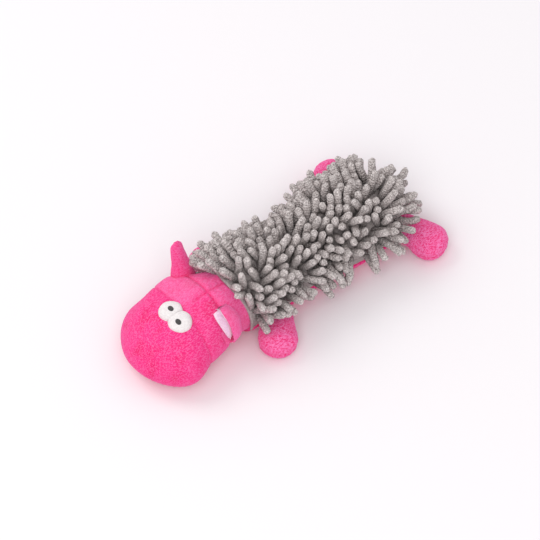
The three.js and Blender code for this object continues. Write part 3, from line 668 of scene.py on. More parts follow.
ear_pieces = []
for name, ear in EARS.items():
    back = leaf(f"ear_{name}_back", ear, ear.shares, -EAR_BACK_THICKNESS, 0, margin=0)
    lining = leaf(
        f"ear_{name}_lining", ear, ear.lining_shares, LAYER_GAP, EAR_LINING_THICKNESS, EAR_MARGIN,
    )
    for piece, depth in ((back, 0.5 * MM), (lining, 0.2 * MM)):
        sew(piece, [], puff=0, lump_depth=depth, lump_size=8 * MM, seed=20, nap=EAR_PAINTED_SHEEN[name])
        ear_pieces.append((piece, f"{name}_ear"))
    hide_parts(f"ear_back_{name}")
    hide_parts(f"ear_lining_{name}")
print("ear faces", sum(len(piece.data.polygons) for piece, body in ear_pieces))

# %% [markdown]
# ## The eyes
# Two puffy white pads are sewn on side by side over the muzzle seam. They press on each other, so
# each one is flat where they meet. The pupils are small dark spots, off the middle of the pads.

# %% Eye pads and pupils
EYE_PLACE = 39 * MM
EYE_SPACING = 11 * MM
EYE_SHIFT = 1.3 * MM
EYE_GAP = 0.1 * MM
EYE_WIDTH, EYE_HEIGHT = 18.2 * MM, 4.8 * MM
PUPIL_LENGTH, PUPIL_WIDTH, PUPIL_HEIGHT = 5.2 * MM, 4.0 * MM, 0.9 * MM
PUPIL_SINK = 0.1 * MM
EYE_POWER, PUPIL_POWER = 2.3, 2.2
DOME_RISES, DOME_FOOT = (-0.25, 0.985), -0.3
PUPIL_OFFSETS = {1: (1.1 * MM, -2.3 * MM), -1: (0.7 * MM, 0.2 * MM)}


def eye_frame(side):
    half_width = float(HEAD.section(np.array(EYE_PLACE))[1])
    angle = math.acos((side * EYE_SPACING / 2 + EYE_SHIFT) / half_width)
    normal = Vector(HEAD.normal(EYE_PLACE, angle))
    matrix = Vector((0, 0, 1)).rotation_difference(normal).to_matrix().to_4x4()
    matrix.translation = Vector(HEAD.point(EYE_PLACE, angle))
    return np.array(matrix)


def dome(name, radius_x, radius_y, height, power, rings=26, sides=56):
    """A puffy round form on a flat base"""
    rise = np.linspace(*DOME_RISES, rings)
    out = (1 - np.abs(rise) ** power) ** (1 / power)
    turn = 2 * np.pi * np.arange(sides) / sides
    x = radius_x * out[:, None] * np.cos(turn)
    y = radius_y * out[:, None] * np.sin(turn)
    z = np.broadcast_to(height * rise[:, None], x.shape)
    grid = np.stack([x, y, z], -1).reshape(-1, 3)
    poles = np.array([[0, 0, DOME_FOOT * height], [0, 0, height]])
    points = np.concatenate([poles[:1], grid, poles[1:]])
    return new_object(name, points, [face[::-1] for face in ring_faces(rings, sides)])


eye_pieces = []
for side, name in ((1, "left"), (-1, "right")):
    seat = eye_frame(side)
    pad = dome(f"eye_{name}_pad", EYE_WIDTH / 2, EYE_WIDTH / 2, EYE_HEIGHT, EYE_POWER)
    points = to_frame(seat, read_points(pad))
    points[:, 0] = EYE_SHIFT + side * np.maximum(side * (points[:, 0] - EYE_SHIFT), EYE_GAP / 2)
    write_points(pad, points)
    sew(pad, [], puff=0, lump_depth=0.4 * MM, lump_size=5 * MM, seed=30 + side)
    x, y = PUPIL_OFFSETS[side]
    pupil = dome(
        f"eye_{name}_pupil", PUPIL_LENGTH / 2, PUPIL_WIDTH / 2, PUPIL_HEIGHT, PUPIL_POWER, 10, 28,
    )
    off_middle = math.hypot(x, y) / (EYE_WIDTH / 2)
    pad_top = EYE_HEIGHT * (1 - off_middle**EYE_POWER) ** (1 / EYE_POWER)
    points = read_points(pupil) + np.array([x, y, pad_top - PUPIL_SINK])
    write_points(pupil, to_frame(seat, points))
    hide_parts(f"eye_pad_{name}")
    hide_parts(f"pupil_{name}")
    eye_pieces += [pad, pupil]
print("eye pieces", [piece.name for piece in eye_pieces])

# %% [markdown]
# ## The mop
# The noodles are soft tufts of chenille, each sewn down at one end, that lean on each other and sag.
# Random angles would push them through one another. So each noodle starts straight, as a chain of
# points, and a small simulation lets it droop: gravity and a lean pull on it, its own stiffness
# straightens it, and noodles that touch push each other away, and off the trunk, the head and the
# legs. What is left is a path for each noodle.

# %% Where the noodles are rooted
NOODLE_WIDTH, NOODLE_GAP = 6.1 * MM, 0.4 * MM
NOODLE_LENGTHS = (20 * MM, 27 * MM)
ROW_PITCH, NOODLE_PITCH = 6.0 * MM, 6.8 * MM
NECK_RIM = 2.5 * MM
SEAM_CLEARANCE, EXTRA_CLEARANCE = 3 * MM, 6 * MM
ROOT_JITTER, ROW_STAGGER = 0.13, 0.11
rng = np.random.default_rng(7)


def even_places(points, pitch):
    """Indices of points that divide a line of points into even steps"""
    walked = np.concatenate([[0], np.cumsum(np.linalg.norm(np.diff(points, axis=0), axis=1))])
    count = max(int(round(walked[-1] / pitch)), 1)
    return np.searchsorted(walked, walked[-1] * (np.arange(count) + 0.5) / count)


line = np.linspace(0, TRUNK_LENGTH - 2 * MM, 800)
rows = line[even_places(TRUNK.point(line, math.radians(60)), ROW_PITCH)]
roots, root_normals = [], []
for row, distance in enumerate(rows):
    level, side, up, down = TRUNK.section(np.array(distance))
    margin = SEAM_CLEARANCE + EXTRA_CLEARANCE * smooth_step(distance / TRUNK_LENGTH, 0.08, 0.25)
    lowest = math.asin(min(max((BELLY_SEAM_HEIGHT + margin - level) / up, 0), 1))
    arc = np.linspace(lowest, math.pi - lowest, 300)
    for k in even_places(TRUNK.point(distance, arc), NOODLE_PITCH):
        shift = rng.uniform(-ROOT_JITTER, ROOT_JITTER) + (ROW_STAGGER if row % 2 else -ROW_STAGGER)
        angle = float(np.clip(arc[k] + shift, lowest, math.pi - lowest))
        along = float(distance + rng.uniform(-1, 1) * MM)
        roots.append(TRUNK.point(along, angle))
        root_normals.append(TRUNK.normal(along, angle))
roots, root_normals = np.array(roots), np.array(root_normals)
behind_rim = roots[:, 1] - NECK_SEAM > rim_distance(roots[:, 2]) + NECK_RIM
roots, root_normals = roots[behind_rim], root_normals[behind_rim]
print("noodles", len(roots))

# %% [markdown]
# ## How the noodles lean
# Noodles that have been handled lie in groups. The photograph shows those at the neck swept forward
# on its right side, a parting behind the shoulders, and the others leaning back and aside. One table
# gives the lean along the trunk, and one the lean across it. Noise adds what differs from noodle to
# noodle, and a few that stand out in the photograph are given their own way to point.

# %% Pulls on the noodles
DROOP = 0.017 * MM
LEAN = 0.060 * MM
CURL = 0.058 * MM
CLUMP, CLUMP_SIZE = 1.6, 22 * MM
SPREAD, START_BEND = 0.60, 6
UPRIGHT, UPRIGHT_HOLD = 1.0, 0.6
FORWARD_START, FORWARD_ASIDE, FORWARD_RISE = 0.6, 1.8, 0.6
FAR_SIDE = 12 * MM
PARTING, PARTING_SKEW, NOTCH_DEPTH, NOTCH_WIDTH = 0.36, 0.35, 0.35, 0.07
# Each stray: about where it is rooted, in millimetres, and the way that it points
STRAYS = (
    ((-22, -26, 40), (0, 0, 1)),
    ((-19, -69, 41), (-0.80, -0.60, 0.10)),
    ((-23, -62, 36), (-0.92, -0.50, -0.02)),
    ((-24, -54, 34), (-0.94, -0.40, 0.06)),
    ((-14, -72, 46), (-0.70, -0.70, 0.15)),
)
TRUNK_HALF = 30 * MM
ASIDE_SHARES = np.array([[-1.0, -0.1], [-0.4, -0.4], [0.1, -0.7], [0.55, -0.5], [1.0, 0.15]])
LEAN_SHARES = np.array([
    [0.00, -3.20], [0.09, -1.70], [0.20, -0.80], [0.31, -1.40], [0.37, 1.80],
    [0.46, 1.00], [0.60, 0.40], [0.75, 0.25], [1.00, 0.35],
])

count = len(roots)
lengths = rng.uniform(*NOODLE_LENGTHS, count)
place = (roots[:, 1] + PARTING_SKEW * roots[:, 0] - NECK_SEAM) / TRUNK_LENGTH
far_side = smooth_step(-roots[:, 0], 0, FAR_SIDE)
lengths *= 1 - NOTCH_DEPTH * near(place - PARTING, NOTCH_WIDTH) * far_side
strays = [np.argmin(np.linalg.norm(roots - np.array(root) * MM, axis=1)) for root, way in STRAYS]
stray_ways = np.array([way for root, way in STRAYS])
lengths[strays] = NOODLE_LENGTHS[1]
lean = share_at(LEAN_SHARES, 1, np.clip(place, 0, 1))
lean[lean < 0] *= smooth_step(-roots[lean < 0, 0], -3 * MM, FAR_SIDE) * 0.6 + 0.4
forward = np.minimum(lean + FORWARD_START, 0) * (1 - smooth_step(place, 0.12, 0.24))
upright = UPRIGHT * (1 - smooth_step(place, 0.15, 0.45)) * smooth_step(roots[:, 0], -FAR_SIDE, 2 * MM)
aside = share_at(ASIDE_SHARES, 1, np.clip(roots[:, 0] / TRUNK_HALF, -1, 1)) + FORWARD_ASIDE * forward
pull = np.stack([aside, lean, -FORWARD_RISE * forward], -1) * LEAN
curl = rng.normal(0, 1, (count, 3))
curl -= (curl * root_normals).sum(1, keepdims=True) * root_normals
clump = np.stack([lumps(roots, CLUMP_SIZE, 40 + axis) for axis in range(3)], -1)
pull += CURL * curl + CLUMP * CURL * clump
pull[:, 2] -= DROOP * (1 - UPRIGHT_HOLD * upright)
pull[strays] = stray_ways * LEAN

bend = START_BEND * pull / MM * np.array([1, 1, 0])
start = root_normals + SPREAD * rng.normal(0, 1, (count, 3)) + bend
start[:, 2] += upright
start[strays] = stray_ways
start /= np.linalg.norm(start, axis=1, keepdims=True)
print("strays", strays)

# %% [markdown]
# ## Letting them settle
# Each round of the simulation pulls on every chain, straightens it, pushes apart what touches, and
# puts the links back to their length. The first two points of a chain are its sewn root, and stay.

# %% Let the noodles droop and settle
LINKS = 8
SETTLE_STEPS = 130
STIFFNESS = 0.40
ROOT_DEPTH = 1.0 * MM
PAIR_MARGIN = 3 * MM
PAIR_ROUNDS = 8
BATCH = 400

link = (lengths / LINKS)[:, None]
chain = roots[:, None, :] + start[:, None, :] * (link[:, :, None] * np.arange(LINKS + 1)[None, :, None])
chain -= root_normals[:, None, :] * ROOT_DEPTH
owner = np.repeat(np.arange(count), LINKS + 1)
joint = np.tile(np.arange(LINKS + 1), count)
leg_places = [leg_matrix(*values) for values in LEGS.values()]


def close_pairs(points, reach):
    """Pairs of points of different noodles that are within a reach"""
    firsts, seconds = [], []
    for low in range(0, len(points), BATCH):
        part = points[low:low + BATCH]
        square = (part**2).sum(1)[:, None] + (points**2).sum(1)[None, :] - 2 * part @ points.T
        i, j = np.nonzero(square < reach**2)
        i += low
        keep = (i < j) & (owner[i] != owner[j]) & ((joint[i] > 1) | (joint[j] > 1))
        firsts.append(i[keep])
        seconds.append(j[keep])
    return np.concatenate(firsts), np.concatenate(seconds)


def settle(chain):
    share = (np.arange(LINKS + 1) / LINKS)[None, :, None]
    free = joint > 1
    leg_frames = [(matrix, np.linalg.inv(matrix)) for matrix in leg_places]
    for step in range(SETTLE_STEPS):
        chain[:, 2:] += pull[:, None, :] * share[:, 2:]
        for k in range(2, LINKS + 1):
            straight = 2 * chain[:, k - 1] - chain[:, k - 2]
            chain[:, k] += STIFFNESS * (straight - chain[:, k])
        flat = chain.reshape(-1, 3)
        if step % PAIR_ROUNDS == 0:
            first, second = close_pairs(flat, NOODLE_WIDTH + PAIR_MARGIN)
        between = flat[first] - flat[second]
        apart = np.maximum(np.linalg.norm(between, axis=1), 0.01 * MM)
        push = np.clip(NOODLE_WIDTH - apart, 0, None) / apart / 2
        push = between * push[:, None]
        for axis in range(3):
            flat[:, axis] += free * np.bincount(first, push[:, axis], len(flat))
            flat[:, axis] -= free * np.bincount(second, push[:, axis], len(flat))
        for form in (TRUNK, HEAD):
            flat = np.where(free[:, None], form.push_out(flat, NOODLE_WIDTH / 2), flat)
        for matrix, inverse in leg_frames:
            moved = to_frame(matrix, LEG.push_out(to_frame(inverse, flat), NOODLE_WIDTH / 2))
            flat = np.where(free[:, None], moved, flat)
        flat[:, 2] = np.maximum(flat[:, 2], NOODLE_WIDTH / 2)
        chain = flat.reshape(count, LINKS + 1, 3)
        for k in range(2, LINKS + 1):
            along = chain[:, k] - chain[:, k - 1]
            along /= np.linalg.norm(along, axis=1, keepdims=True)
            chain[:, k] = chain[:, k - 1] + along * link
    return chain


chain = settle(chain)
touching, _ = close_pairs(chain.reshape(-1, 3), NOODLE_WIDTH * 0.8)
print("settled", count, "noodles, close pairs left", len(touching))

# %% [markdown]
# ## Node trees from Python
# A node tree is easier to read when each node is one call: its kind, what goes into its inputs, and
# its settings. A value that is a socket is linked, and any other value is set.

# %% Helpers for node trees
def group_input(tree, name, kind, value=None):
    socket = tree.interface.new_socket(name, in_out="INPUT", socket_type=kind)
    if value is not None:
        socket.default_value = value
    return socket


def set_input(modifier, name, value):
    """Sets a modifier's input by its socket's identifier"""
    for item in modifier.node_group.interface.items_tree:
        if item.item_type == "SOCKET" and item.in_out == "INPUT" and item.name == name:
            modifier[item.identifier] = value


def node(tree, kind, inputs=(), **settings):
    """Adds a node, sets it, and gives its inputs values or links"""
    made = tree.nodes.new(kind)
    for key, value in settings.items():
        setattr(made, key, value)
    for key, value in dict(inputs).items():
        if isinstance(value, bpy.types.NodeSocket):
            tree.links.new(value, made.inputs[key])
        else:
            made.inputs[key].default_value = value
    return made


def math_node(tree, operation, first, second=0.0):
    return node(tree, "ShaderNodeMath", {0: first, 1: second}, operation=operation).outputs[0]


print("helpers", group_input.__name__, set_input.__name__, node.__name__, math_node.__name__)

# %% [markdown]
# ## Chenille round each path
# Geometry Nodes turn the paths into noodles. A mesh of loose edges becomes curves, a round profile
# follows them, and the radius falls to nothing at the tip. Noise then moves the surface in and out,
# because chenille is never even. How far a point is along its noodle is kept for the material.

# %% A node tree for noodles
KNOB_HEIGHT, KNOB_SIZE = 2.2 * MM, 3.0 * MM
NOODLE_SIDES = 8

noodle_tree = bpy.data.node_groups.new("chenille_noodles", "GeometryNodeTree")
noodle_tree.interface.new_socket("Geometry", in_out="OUTPUT", socket_type="NodeSocketGeometry")
group_input(noodle_tree, "Geometry", "NodeSocketGeometry")
group_input(noodle_tree, "Width", "NodeSocketFloat", NOODLE_WIDTH)
group_input(noodle_tree, "Sides", "NodeSocketInt", NOODLE_SIDES)
group_input(noodle_tree, "Knob Height", "NodeSocketFloat", KNOB_HEIGHT)
group_input(noodle_tree, "Knob Scale", "NodeSocketFloat", 1 / KNOB_SIZE)
group_input(noodle_tree, "Material", "NodeSocketMaterial")
inputs = noodle_tree.nodes.new("NodeGroupInput")
curves = node(noodle_tree, "GeometryNodeMeshToCurve", {"Mesh": inputs.outputs["Geometry"]})
along = node(noodle_tree, "GeometryNodeSplineParameter")
whole = node(noodle_tree, "GeometryNodeSplineLength")
kept = node(noodle_tree, "GeometryNodeStoreNamedAttribute", {
    "Geometry": curves.outputs["Curve"],
    "Name": "along",
    "Value": along.outputs["Length"],
}, data_type="FLOAT", domain="POINT")
half_width = math_node(noodle_tree, "MULTIPLY", inputs.outputs["Width"], 0.5)
left = math_node(noodle_tree, "SUBTRACT", whole.outputs["Length"], along.outputs["Length"])
inward = math_node(noodle_tree, "SUBTRACT", 1.0, math_node(noodle_tree, "DIVIDE", left, half_width))
inward = math_node(noodle_tree, "MINIMUM", math_node(noodle_tree, "MAXIMUM", inward, 0.0), 0.99)
square = math_node(noodle_tree, "MULTIPLY", inward, inward)
fullness = math_node(noodle_tree, "SQRT", math_node(noodle_tree, "SUBTRACT", 1.0, square))
radius = math_node(noodle_tree, "MULTIPLY", fullness, half_width)
sized = node(noodle_tree, "GeometryNodeSetCurveRadius", {
    "Curve": kept.outputs["Geometry"],
    "Radius": radius,
})
profile = node(noodle_tree, "GeometryNodeCurvePrimitiveCircle", {
    "Resolution": inputs.outputs["Sides"],
    "Radius": 1.0,
})
sweep = node(noodle_tree, "GeometryNodeCurveToMesh", {
    "Curve": sized.outputs["Curve"],
    "Profile Curve": profile.outputs["Curve"],
    "Fill Caps": True,
})
if "Scale" in sweep.inputs:
    noodle_tree.links.new(radius, sweep.inputs["Scale"])
where = node(noodle_tree, "GeometryNodeInputPosition")
outward = node(noodle_tree, "GeometryNodeInputNormal")
knobs = node(noodle_tree, "ShaderNodeTexNoise", {
    "Vector": where.outputs["Position"],
    "Scale": inputs.outputs["Knob Scale"],
    "Detail": 1.0,
})
knob = math_node(noodle_tree, "SUBTRACT", knobs.outputs[0], 0.5)
knob = math_node(noodle_tree, "MULTIPLY", knob, inputs.outputs["Knob Height"])
raised = node(noodle_tree, "ShaderNodeVectorMath", {
    0: outward.outputs["Normal"],
    "Scale": knob,
}, operation="SCALE")
uneven = node(noodle_tree, "GeometryNodeSetPosition", {
    "Geometry": sweep.outputs["Mesh"],
    "Offset": raised.outputs[0],
})
smooth = node(noodle_tree, "GeometryNodeSetShadeSmooth", {"Geometry": uneven.outputs["Geometry"]})
real = node(noodle_tree, "GeometryNodeRealizeInstances", {"Geometry": smooth.outputs["Geometry"]})
finished = node(noodle_tree, "GeometryNodeSetMaterial", {
    "Geometry": real.outputs["Geometry"],
    "Material": inputs.outputs["Material"],
})
node(noodle_tree, "NodeGroupOutput", {"Geometry": finished.outputs["Geometry"]})
print("noodle tree nodes", len(noodle_tree.nodes))

# %% [markdown]
# ## Cloth finishes
# Plush is a short pile that stands on a knitted ground. It looks soft because the pile scatters light
# at its edges, which the shader's sheen gives, and because the pile lies in slightly different ways
# from place to place, which a stretched noise gives. Shader maths is easier to read as expressions,
# so a small class wraps a socket and adds the nodes.

# %% A wrapper for shader sockets
class Shader:
    """A material's node tree, with one method that adds any node"""

    def __init__(self, name):
        self.material = bpy.data.materials.new(name)
        self.material.use_nodes = True
        self.tree = self.material.node_tree
        self.surface = self.tree.nodes["Principled BSDF"]

    def add(self, kind, values=(), output=0, **settings):
        made = self.tree.nodes.new(kind)
        for key, value in settings.items():
            setattr(made, key, value)
        for key, value in dict(values).items():
            self.plug(made.inputs[key], value)
        return Value(self, made.outputs[output])

    def plug(self, socket, value):
        if isinstance(value, Value):
            self.tree.links.new(value.socket, socket)
        else:
            socket.default_value = value

    def set(self, **values):
        for key, value in values.items():
            self.plug(self.surface.inputs[key.replace("_", " ")], value)

    def position(self):
        return self.add("ShaderNodeTexCoord", output="Object")

    def attribute(self, name):
        return self.add("ShaderNodeAttribute", output="Fac", attribute_name=name)

    def stretched(self, scale):
        return self.add("ShaderNodeMapping", {"Vector": self.position(), "Scale": scale})

    def noise(self, vector, scale, detail=2.0):
        return self.add("ShaderNodeTexNoise", {"Vector": vector, "Scale": scale, "Detail": detail})

    def mix(self, share, first, second):
        """A blend of two colours. The node has a set of sockets for each kind of data, so names repeat"""
        made = self.tree.nodes.new("ShaderNodeMix")
        made.data_type = "RGBA"
        for name, value in {"Factor": share, "A": first, "B": second}.items():
            self.plug(next(s for s in made.inputs if s.name == name and s.enabled), value)
        return Value(self, next(s for s in made.outputs if s.enabled))

    def bump(self, height, distance, strength):
        values = {"Height": height, "Distance": distance, "Strength": strength}
        return self.add("ShaderNodeBump", values)


print("shader methods", [name for name in vars(Shader) if not name.startswith("_")])

# %% [markdown]
# ## Sockets as values
# Python lets a class say what + and * mean for it. Here they add a Math node and give its output, so
# a line such as 1 - mask * 0.5 builds the nodes that work it out.

# %% Values and colours
class Value:
    """A socket that can be used in an expression"""

    def __init__(self, shader, socket):
        self.shader, self.socket = shader, socket

    def maths(self, operation, first, second):
        return self.shader.add("ShaderNodeMath", {0: first, 1: second}, operation=operation)

    def __add__(self, other):
        return self.maths("ADD", self, other)

    def __radd__(self, other):
        return self.maths("ADD", other, self)

    def __sub__(self, other):
        return self.maths("SUBTRACT", self, other)

    def __rsub__(self, other):
        return self.maths("SUBTRACT", other, self)

    def __mul__(self, other):
        return self.maths("MULTIPLY", self, other)

    def __rmul__(self, other):
        return self.maths("MULTIPLY", other, self)

    def __truediv__(self, other):
        return self.maths("DIVIDE", self, other)

    def sin(self):
        return self.maths("SINE", self, 0.0)

    def between(self, low, high):
        """0 below low, 1 above high, and smooth between them"""
        return self.shader.add("ShaderNodeMapRange", {
            "Value": self, "From Min": low, "From Max": high,
        }, interpolation_type="SMOOTHSTEP")


def rgb(red, green, blue):
    """A colour as it looks on a screen, from 0 to 255, turned into the light that it stands for"""
    linear = [((c / 255 + 0.055) / 1.055) ** 2.4 for c in (red, green, blue)]
    return (*linear, 1.0)


print("a middle grey, as light", np.round(rgb(128, 128, 128), 3))

# %% [markdown]
# ## Plush and felt
# Close up, plush shows a fine grain where the pile stands, and softer patches where a hand has
# brushed it another way. The seams get a deeper colour, which is painted shade. Each panel gets its
# own share of paler pile, which is painted sheen for the light that falls on it. The legs' pile is
# combed more coarsely. Felt, filling and backing cloth are made the same way, with less sheen.

# %% Plush, felt and filling
# How far the painted sheen pales the pile colour
PAINTED_SHEEN_SHARE = 0.4
PILE_SCALE, BRUSH_SCALE = 1300, 110
PINKS = rgb(247, 58, 138), rgb(251, 142, 198), rgb(236, 28, 106)


def plush(name, colour, light, deep, sheen, grain=1.0):
    """Short pile: fine bumps that lie along the toy, soft patches, painted sheen on the pile, and painted
    shade in the seams
    """
    shader = Shader(name)
    pile = shader.noise(shader.stretched((1.0, 0.4, 1.0)), PILE_SCALE, 3.0)
    brushed = shader.noise(shader.stretched((0.8, 0.5, 0.8)), BRUSH_SCALE, 2.0)
    crease = shader.attribute("crease")
    base = shader.mix(brushed.between(0.2, 0.55), deep, colour)
    # Painted sheen: paler pile colour by each panel's share, standing in for light
    base = shader.mix(shader.attribute("nap") * PAINTED_SHEEN_SHARE, base, light)
    base = shader.mix(pile.between(0.44, 0.64) * (0.4 * grain), base, light)
    base = shader.mix((1.0 - pile.between(0.38, 0.52)) * (0.35 * grain), base, deep)
    # Painted shade: a deeper colour in the seams, where light doesn't reach
    base = shader.mix(crease * 0.55, base, deep)
    height = pile * 1.4 + brushed * 1.2
    shader.set(
        Base_Color=base,
        Roughness=0.92,
        Normal=shader.bump(height, 0.6 * MM, 0.8),
        Sheen_Weight=sheen,
        Sheen_Roughness=0.35,
        Sheen_Tint=light,
        Specular_IOR_Level=0.15,
    )
    return shader.material


pink = plush("pink_plush", *PINKS, sheen=1.0)
pink_combed = plush("combed_pink_plush", *PINKS, sheen=1.0, grain=2.0)
pale = plush("pale_plush", rgb(250, 222, 242), rgb(255, 240, 252), rgb(240, 196, 224), 0.3)
white = plush("white_felt", rgb(240, 234, 234), rgb(250, 246, 246), rgb(222, 212, 214), 0.3)
fibre = plush("fibre_filling", rgb(238, 236, 230), rgb(248, 246, 242), rgb(214, 210, 204), 0.2)
grey_cloth = plush("grey_backing", rgb(176, 166, 165), rgb(208, 200, 198), rgb(140, 130, 129), 0.3)

print("cloths", [cloth.name for cloth in (pink, pink_combed, pale, white, fibre, grey_cloth)])

# %% [markdown]
# ## Thread and chenille
# A pupil is embroidered, so fine dark lines run across it. Chenille is a core with tufts of pile all
# round it: cells of a Voronoi pattern give the tufts, a wave along the noodle gathers them in loose
# rings, and the colour is darkest at the root, where the noodles shade each other.

# %% Thread and chenille
THREAD_SCALE = 14000
TUFT_SIZE = 1.45 * MM
RING_PITCH = 2.2 * MM


def thread(name):
    """Dark threads laid side by side, as embroidery is"""
    shader = Shader(name)
    spread = shader.noise(shader.position(), 900)
    across = shader.add("ShaderNodeSeparateXYZ", {0: shader.position()}, output="Y")
    lines = (across * THREAD_SCALE + spread * 3).sin()
    shader.set(
        Base_Color=shader.mix(lines.between(-1, 1), rgb(38, 36, 38), rgb(74, 70, 72)),
        Roughness=0.6,
        Normal=shader.bump(lines, 0.1 * MM, 0.6),
        Sheen_Weight=0.2,
    )
    return shader.material


def chenille(name):
    """Small tufts of pile all over each noodle, in loose rings, with painted shade at the root and a painted
    highlight at the tip
    """
    shader = Shader(name)
    along = shader.attribute("along")
    tone = shader.attribute("tone")
    grain = shader.noise(shader.position(), 1050, 2.0)
    patch = shader.noise(shader.position(), 260, 2.0)
    tuft = shader.add("ShaderNodeTexVoronoi", {
        "Vector": shader.position(),
        "Scale": 1 / TUFT_SIZE,
    }, output="Distance")
    ridge = (along * (2 * math.pi / RING_PITCH) + patch * 14.0).sin()
    base = shader.mix(tone, rgb(238, 226, 224), rgb(212, 200, 198))
    # Painted highlight: the tip is paler, standing in for the light on the free ends
    base = shader.mix(along.between(14 * MM, 22 * MM) * 0.4, base, rgb(246, 237, 235))
    # Painted shade: darker towards the root, where the noodles shade each other
    base = shader.mix((1.0 - along.between(2 * MM, 17 * MM)) * 0.85, base, rgb(84, 73, 72))
    base = shader.mix(tuft.between(0.30, 0.75) * 0.45, base, rgb(92, 80, 79))
    base = shader.mix((1.0 - tuft.between(0.10, 0.38)) * 0.3, base, rgb(255, 253, 252))
    base = shader.mix(grain.between(0.50, 0.62) * 0.2, base, rgb(255, 253, 252))
    base = shader.mix((1.0 - grain.between(0.38, 0.50)) * 0.22, base, rgb(66, 54, 53))
    height = grain * 0.8 + ridge * 0.35 + patch - tuft * 1.1
    shader.set(
        Base_Color=base,
        Roughness=0.95,
        Normal=shader.bump(height, 1.2 * MM, 0.9),
        Sheen_Weight=0.35,
        Sheen_Roughness=0.5,
        Sheen_Tint=rgb(235, 228, 226),
        Specular_IOR_Level=0.1,
    )
    return shader.material


dark_thread = thread("pupil_thread")
grey_chenille = chenille("grey_chenille")
print("thread and chenille", dark_thread.name, grey_chenille.name)

# %% [markdown]
# ## Plastic and brass
# The squeaker is out of sight, but someone may take the toy apart. Its cup, bellows and tube are
# moulded plastic, and the reed is thin rolled brass. Neither is perfectly even in its gloss.

# %% Plastic and brass
def plastic(name, colour, roughness, metal):
    """Moulded or rolled stock: a faint unevenness in its gloss"""
    shader = Shader(name)
    uneven = shader.noise(shader.position(), 400)
    shader.set(
        Base_Color=shader.mix(uneven * 0.2, colour, rgb(255, 255, 255)),
        Roughness=uneven * 0.15 + roughness,
        Metallic=metal,
        Normal=shader.bump(uneven, 0.05 * MM, 0.3),
    )
    return shader.material


squeaker_plastic = plastic("squeaker_plastic", rgb(228, 232, 232), 0.35, 0.0)
reed_brass = plastic("reed_brass", rgb(196, 160, 92), 0.25, 1.0)
print("materials", [material.name for material in bpy.data.materials])

# %% [markdown] ## The noodles as meshes A settled chain has only a few points, so a smooth curve
# through them gives the path, with points closer together at the round tip. Each slice of the mop
# is one object.

# %% Sweep the noodles, slice by slice
MOP_SLICES = ["mop_front", "mop_shoulders", "mop_waist", "mop_rump"]
PATH_SHARES = np.array([0, 0.2, 0.38, 0.56, 0.72, 0.85, 0.93, 0.98, 1])


def smooth_paths(chain):
    """Each chain's points at the shares of its length where a noodle has a ring"""
    at = PATH_SHARES * LINKS
    low = np.minimum(at.astype(int), LINKS - 1)
    part = (at - low)[None, :, None]
    before = 2 * chain[:, :1] - chain[:, 1:2]
    after = 2 * chain[:, -1:] - chain[:, -2:-1]
    padded = np.concatenate([before, chain, after], 1)
    a, b, c, d = (padded[:, low + k] for k in range(4))
    bend = (2 * a - 5 * b + 4 * c - d) * part**2 + (3 * b - a - 3 * c + d) * part**3
    return b + ((c - a) * part + bend) / 2


paths = smooth_paths(chain)
tones = rng.uniform(0, 1, count)
boxes = [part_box(name) for name in MOP_SLICES]
cuts = [(ahead[1].y + behind[0].y) / 2 for ahead, behind in zip(boxes, boxes[1:])]
edges = [-math.inf, *cuts, math.inf]
mop_pieces = []
for k, name in enumerate(MOP_SLICES):
    chosen = np.nonzero((roots[:, 1] >= edges[k]) & (roots[:, 1] < edges[k + 1]))[0]
    rings = len(PATH_SHARES)
    points = paths[chosen].reshape(-1, 3)
    links = [(n * rings + r, n * rings + r + 1) for n in range(len(chosen)) for r in range(rings - 1)]
    mesh = bpy.data.meshes.new(f"{name}_paths")
    mesh.from_pydata([tuple(p) for p in points], links, [])
    kept_tones = mesh.attributes.new("tone", "FLOAT", "POINT")
    kept_tones.data.foreach_set("value", np.repeat(tones[chosen], rings))
    source = bpy.data.objects.new(f"{name}_paths", mesh)
    bpy.context.scene.collection.objects.link(source)
    modifier = source.modifiers.new("noodles", "NODES")
    modifier.node_group = noodle_tree
    set_input(modifier, "Width", NOODLE_WIDTH - NOODLE_GAP)
    set_input(modifier, "Material", grey_chenille)
    evaluated = source.evaluated_get(bpy.context.evaluated_depsgraph_get())
    swept = bpy.data.meshes.new_from_object(evaluated)
    bpy.data.objects.remove(source)
    swept.name = f"{name}_noodles"
    piece = bpy.data.objects.new(f"{name}_noodles", swept)
    bpy.context.scene.collection.objects.link(piece)
    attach(piece, "trunk")
    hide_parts(name)
    mop_pieces.append(piece)
    print(name, len(chosen), "noodles,", len(swept.polygons), "faces")

# %% [markdown]
# ## Filling
# The fibre filling is out of sight, but it is part of the toy. Each mass of it is the form again,
# smaller by the cloth's thickness and uneven all over, and the trunk's halves leave room for the
# squeaker between them.

# %% Fibre filling
FILLING_INSET = 4.5 * MM
LEG_FILLING_GAP = 2 * MM
POCKET_RADIUS = 19 * MM
POCKET_LOW, POCKET_HIGH = 7 * MM, 26 * MM
SPLIT_HEIGHT, SPLIT_GAP = 16 * MM, 0.3 * MM
fillings = []


def add_filling(name, made, body):
    made.name = f"{name}_fibre"
    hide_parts(name)
    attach(made, body)
    made.data.materials.append(fibre)
    fillings.append(made)


